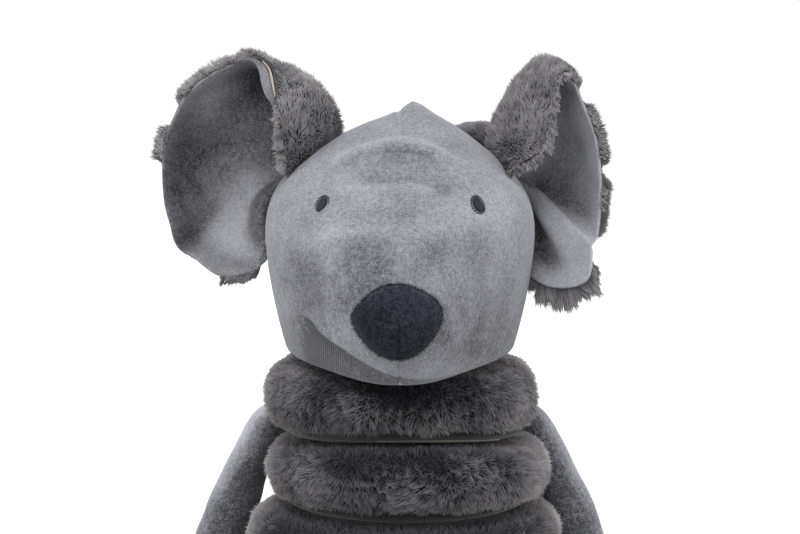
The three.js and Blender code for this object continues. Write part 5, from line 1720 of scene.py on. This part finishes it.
# %% Lumps of filling
def even_line(corners, spacing):
    """Points at even steps along straight stretches, with each corner kept near."""
    corners = np.asarray(corners, float)
    reach = np.concatenate([[0], np.cumsum(np.linalg.norm(np.diff(corners, axis=0), axis=1))])
    places = np.linspace(0, reach[-1], int(reach[-1] / spacing) + 2)
    return np.stack([np.interp(places, reach, corners[:, 0]), np.interp(places, reach, corners[:, 1])], -1)


def lumpy(grid, seed, depth=0.9, size=15, closed_rows=False):
    """Sinks a grid's surface by an uneven field, never outwards."""
    out = grid_normals(grid, 1.0, closed_rows, True)
    middle = grid.reshape(-1, 3).mean(0)
    if ((grid - middle) * out).sum() < 0:
        out = -out
    return grid - out * (depth * (0.5 + 0.5 * np.clip(waves(grid, size, seed), -1, 1)))[..., None]


def filling_piece(
    name, grid, node_name, body, fill=0.6, closed_rows=False, look=filling_look, slot="filling"
):
    """A closed lump from a grid that goes round its columns, as a piece on a body."""
    piece = sheet_piece(name, grid, look, None, closed_rows, True)
    return place(piece, body, node_name, slot, fill)


# How far a ring's filling stays inside the pile's outer line, above its panel and outside the tube
RING_INSET, ABOVE_PANEL, BESIDE_TUBE = 7.8, 2.2, 0.2
LUMP_STEP = 3.0
for index, (name, radius, bottom, top) in enumerate(RINGS):
    top_edge = top - SEAM_GAP
    arc_turns = np.radians(np.linspace(-90, 90, 13))
    arc = np.stack(ring_arc(radius, bottom, top_edge, RING_INSET, arc_turns), -1)
    panel_edge, tube_edge = radius - BULGE - 3.6, HOLE + BESIDE_TUBE
    corners = [
        (tube_edge, bottom + ABOVE_PANEL), (panel_edge, bottom + ABOVE_PANEL),
        (panel_edge, bottom + RING_INSET), *arc, (tube_edge, top_edge - RING_INSET),
    ]
    section = even_line([*corners, corners[0]], LUMP_STEP)[:-1]
    grid = lumpy(ring_sheet(section), 130 + index, closed_rows=True)
    filling_piece(name + "_stuffing", grid, name + "_filling", "torso", closed_rows=True)

# %% Knit tube and its filling
CORE, CORE_TOP, CORE_WALL, CORE_FOOT, WALES = 27, 188, 1.5, 1.9, 60
tube_top, tube_inside = CORE_TOP - 0.3, CORE - CORE_WALL
core_corners = [(CORE, CORE_FOOT), (CORE, tube_top), (tube_inside, tube_top), (tube_inside, CORE_FOOT)]
core_grid = ring_sheet(even_line([*core_corners, core_corners[0]], 3.5)[:-1])
wale = 0.15 * np.sin(WALES * AROUND)[None, :, None] - 0.15
core_grid = core_grid + core_grid * np.array([1, 1, 0]) / CORE * wale
core_knit = sheet_piece("core_knit", core_grid, knit_look, None, True, True)
place(core_knit, "torso", "core_tube", "knit")
# The lower lump holds the squeaker's pocket, and the neck's socket lies above the upper one
CORE_INSIDE, POCKET, POCKET_FLOOR, POCKET_TOP, UPPER_TOP = 25.2, 19.1, 83.9, 115, CORE_TOP - 10.4
lower = [
    (0, 2.0), (CORE_INSIDE, 2.0), (CORE_INSIDE, POCKET_TOP), (POCKET, POCKET_TOP), (POCKET, POCKET_FLOOR),
    (0, POCKET_FLOOR),
]
upper = [
    (0, POCKET_TOP + 0.4), (CORE_INSIDE, POCKET_TOP + 0.4), (CORE_INSIDE, UPPER_TOP), (0, UPPER_TOP),
]
for name, corners, seed in (("lower", lower, 141), ("upper", upper, 142)):
    grid = lumpy(ring_sheet(even_line(corners, LUMP_STEP)), seed, depth=0.6)
    filling_piece("core_stuffing_" + name, grid, "core_filling_" + name, "torso")

# %% [markdown]
# The neck is a stuffed ball on the tube, sewn from six gores. The head's filling follows the inside
# of the velour, is open below and has a round socket that sits on the ball.

# %% Neck and filling of the head
NECK, NECK_INNER, NECK_DEEP, SOCKET = 20, 17, 10, 21.4
neck_dome = np.radians(np.linspace(90, 0, 24))
neck_floor = CORE_TOP - NECK_DEEP
neck_foot = [(NECK - 0.2, CORE_TOP), (NECK_INNER, CORE_TOP), (NECK_INNER, neck_floor), (0, neck_floor)]
neck_line = np.concatenate([
    np.stack([NECK * np.cos(neck_dome), CORE_TOP + NECK * np.sin(neck_dome)], -1), even_line(neck_foot, 2.0)
])
gores = 1 - 0.03 * bell(np.sin(3 * AROUND), 0.12)[None, :]
neck_grid = np.stack([
    neck_line[:, :1] * gores * np.sin(AROUND), -neck_line[:, :1] * gores * np.cos(AROUND),
    neck_line[:, 1:] + 0 * gores,
], -1)
filling_piece("neck_cloth", neck_grid, "neck_ball", "neck", fill=0.9, look=knit_look, slot="knit")

INSIDE, SHELL_ROWS, FLAT_ROWS = VELOUR_WALL + 0.6, 70, 21
shell = head_point(AROUND[None, :], np.linspace(1, 0, SHELL_ROWS)[:, None], INSIDE)
under = shell[-1:] * np.linspace(1, SOCKET / 55, FLAT_ROWS + 1)[1:, None, None]
round_hole = SOCKET * np.stack([np.sin(AROUND), -np.cos(AROUND)], -1)
share = step(np.linspace(0, 1, FLAT_ROWS), 0.3, 1)[:, None, None]
under[..., :2] = under[..., :2] * (1 - share) + round_hole * share
under[..., 2] = HEAD_BASE + INSIDE
socket = np.radians(np.linspace(8, 90, 14))[:, None]
hollow = np.stack([
    SOCKET * np.cos(socket) * np.sin(AROUND), -SOCKET * np.cos(socket) * np.cos(AROUND),
    CORE_TOP + SOCKET * np.sin(socket) + 0 * AROUND,
], -1)
# Behind the middle the filling's foot rises with the tilt of the head's underside
outer = np.concatenate([shell, under])
foot = np.clip(outer[..., 1], 0, None) * np.tan(HEAD_TILT) + HEAD_BASE + INSIDE
outer[..., 2] = np.where(outer[..., 1] > 0, np.maximum(outer[..., 2], foot), outer[..., 2])
head_fill = lumpy(np.concatenate([outer, hollow]), 143, depth=0.7, size=20)
filling_piece("head_stuffing", head_fill, "head_filling", "head", fill=0.8)

# %% Filling of the limbs
for side, name in ((1, "arm_left"), (-1, "arm_right")):
    flat = np.array([0.0, side, 0.0])
    tube, _ = limb_tube(np.array(arm_line(side)), ARM_GIRTH, flat, inset=3.8, steps=50, sides=36)
    filling_piece(name + "_stuffing", lumpy(tube, 150 + side, 0.6), name + "_filling", name, fill=0.5)
for side, name in ((1, "leg_left"), (-1, "leg_right")):
    tube, _ = limb_tube(leg_line(side)[2], LEG_GIRTH, UP, inset=3.6, steps=50, sides=36)
    filling_piece(name + "_stuffing", lumpy(tube, 152 + side, 0.6), name + "_filling", name)

# %% [markdown]
# The squeaker is a pressed bellows between two plates, with a reed in the lower one. Moulded
# polyethylene is milky and a little waxy, with faint flow marks, so its colour and its gloss both
# drift a little over the surface.

# %% Plastics
def plastic(name, dark, light, rough):
    """Milky moulded plastic: soft flow marks from stretched noise, in colour and in gloss."""
    made, tree, shader = new_material(name)
    here = own_place(tree)
    stretched = node(tree, "ShaderNodeMapping", {"Vector": here, "Scale": (1.0, 1.0, 3.0)}).outputs[0]
    flow = noise_at(tree, stretched, 90.0, 3.0, 0.8)
    gloss = node(tree, "ShaderNodeMapRange", {"Value": flow, "To Min": rough - 0.1, "To Max": rough + 0.1})
    tree.links.new(gloss.outputs[0], shader.inputs["Roughness"])
    colour, grain = blend_colours(tree, flow, dark, light), noise_at(tree, here, 1500.0)
    coat(tree, shader, colour, grain, 0.15, 0.0002)
    return made


milky = plastic("milky plastic", grey(190), grey(226), 0.42)
red = plastic("red plastic", (0.38, 0.045, 0.03, 1), (0.56, 0.09, 0.06, 1), 0.38)
for node_name, look in (
    ("squeaker_base", milky), ("squeaker_bellows", milky), ("squeaker_cap", milky), ("squeaker_reed", red)
):
    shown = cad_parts[node_name]
    shown.data.materials.clear()
    shown.data.materials.append(look)

# %% Bellows
# It flattens by this many metres when the cap is pressed down
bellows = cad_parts["squeaker_bellows"]
heights = [(bellows.matrix_world @ v.co).z for v in bellows.data.vertices]
low, tall = min(heights), max(heights) - min(heights)
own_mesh(bellows)
print("the bellows is", round(tall * 1000, 1), "mm tall at rest")
still_plain = [n for n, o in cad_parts.items() if not o.hide_render and not n.startswith("squeaker")]
print("nodes still plain:", sorted(still_plain))

# %% Finish
scene.view_settings.view_transform = "Standard"
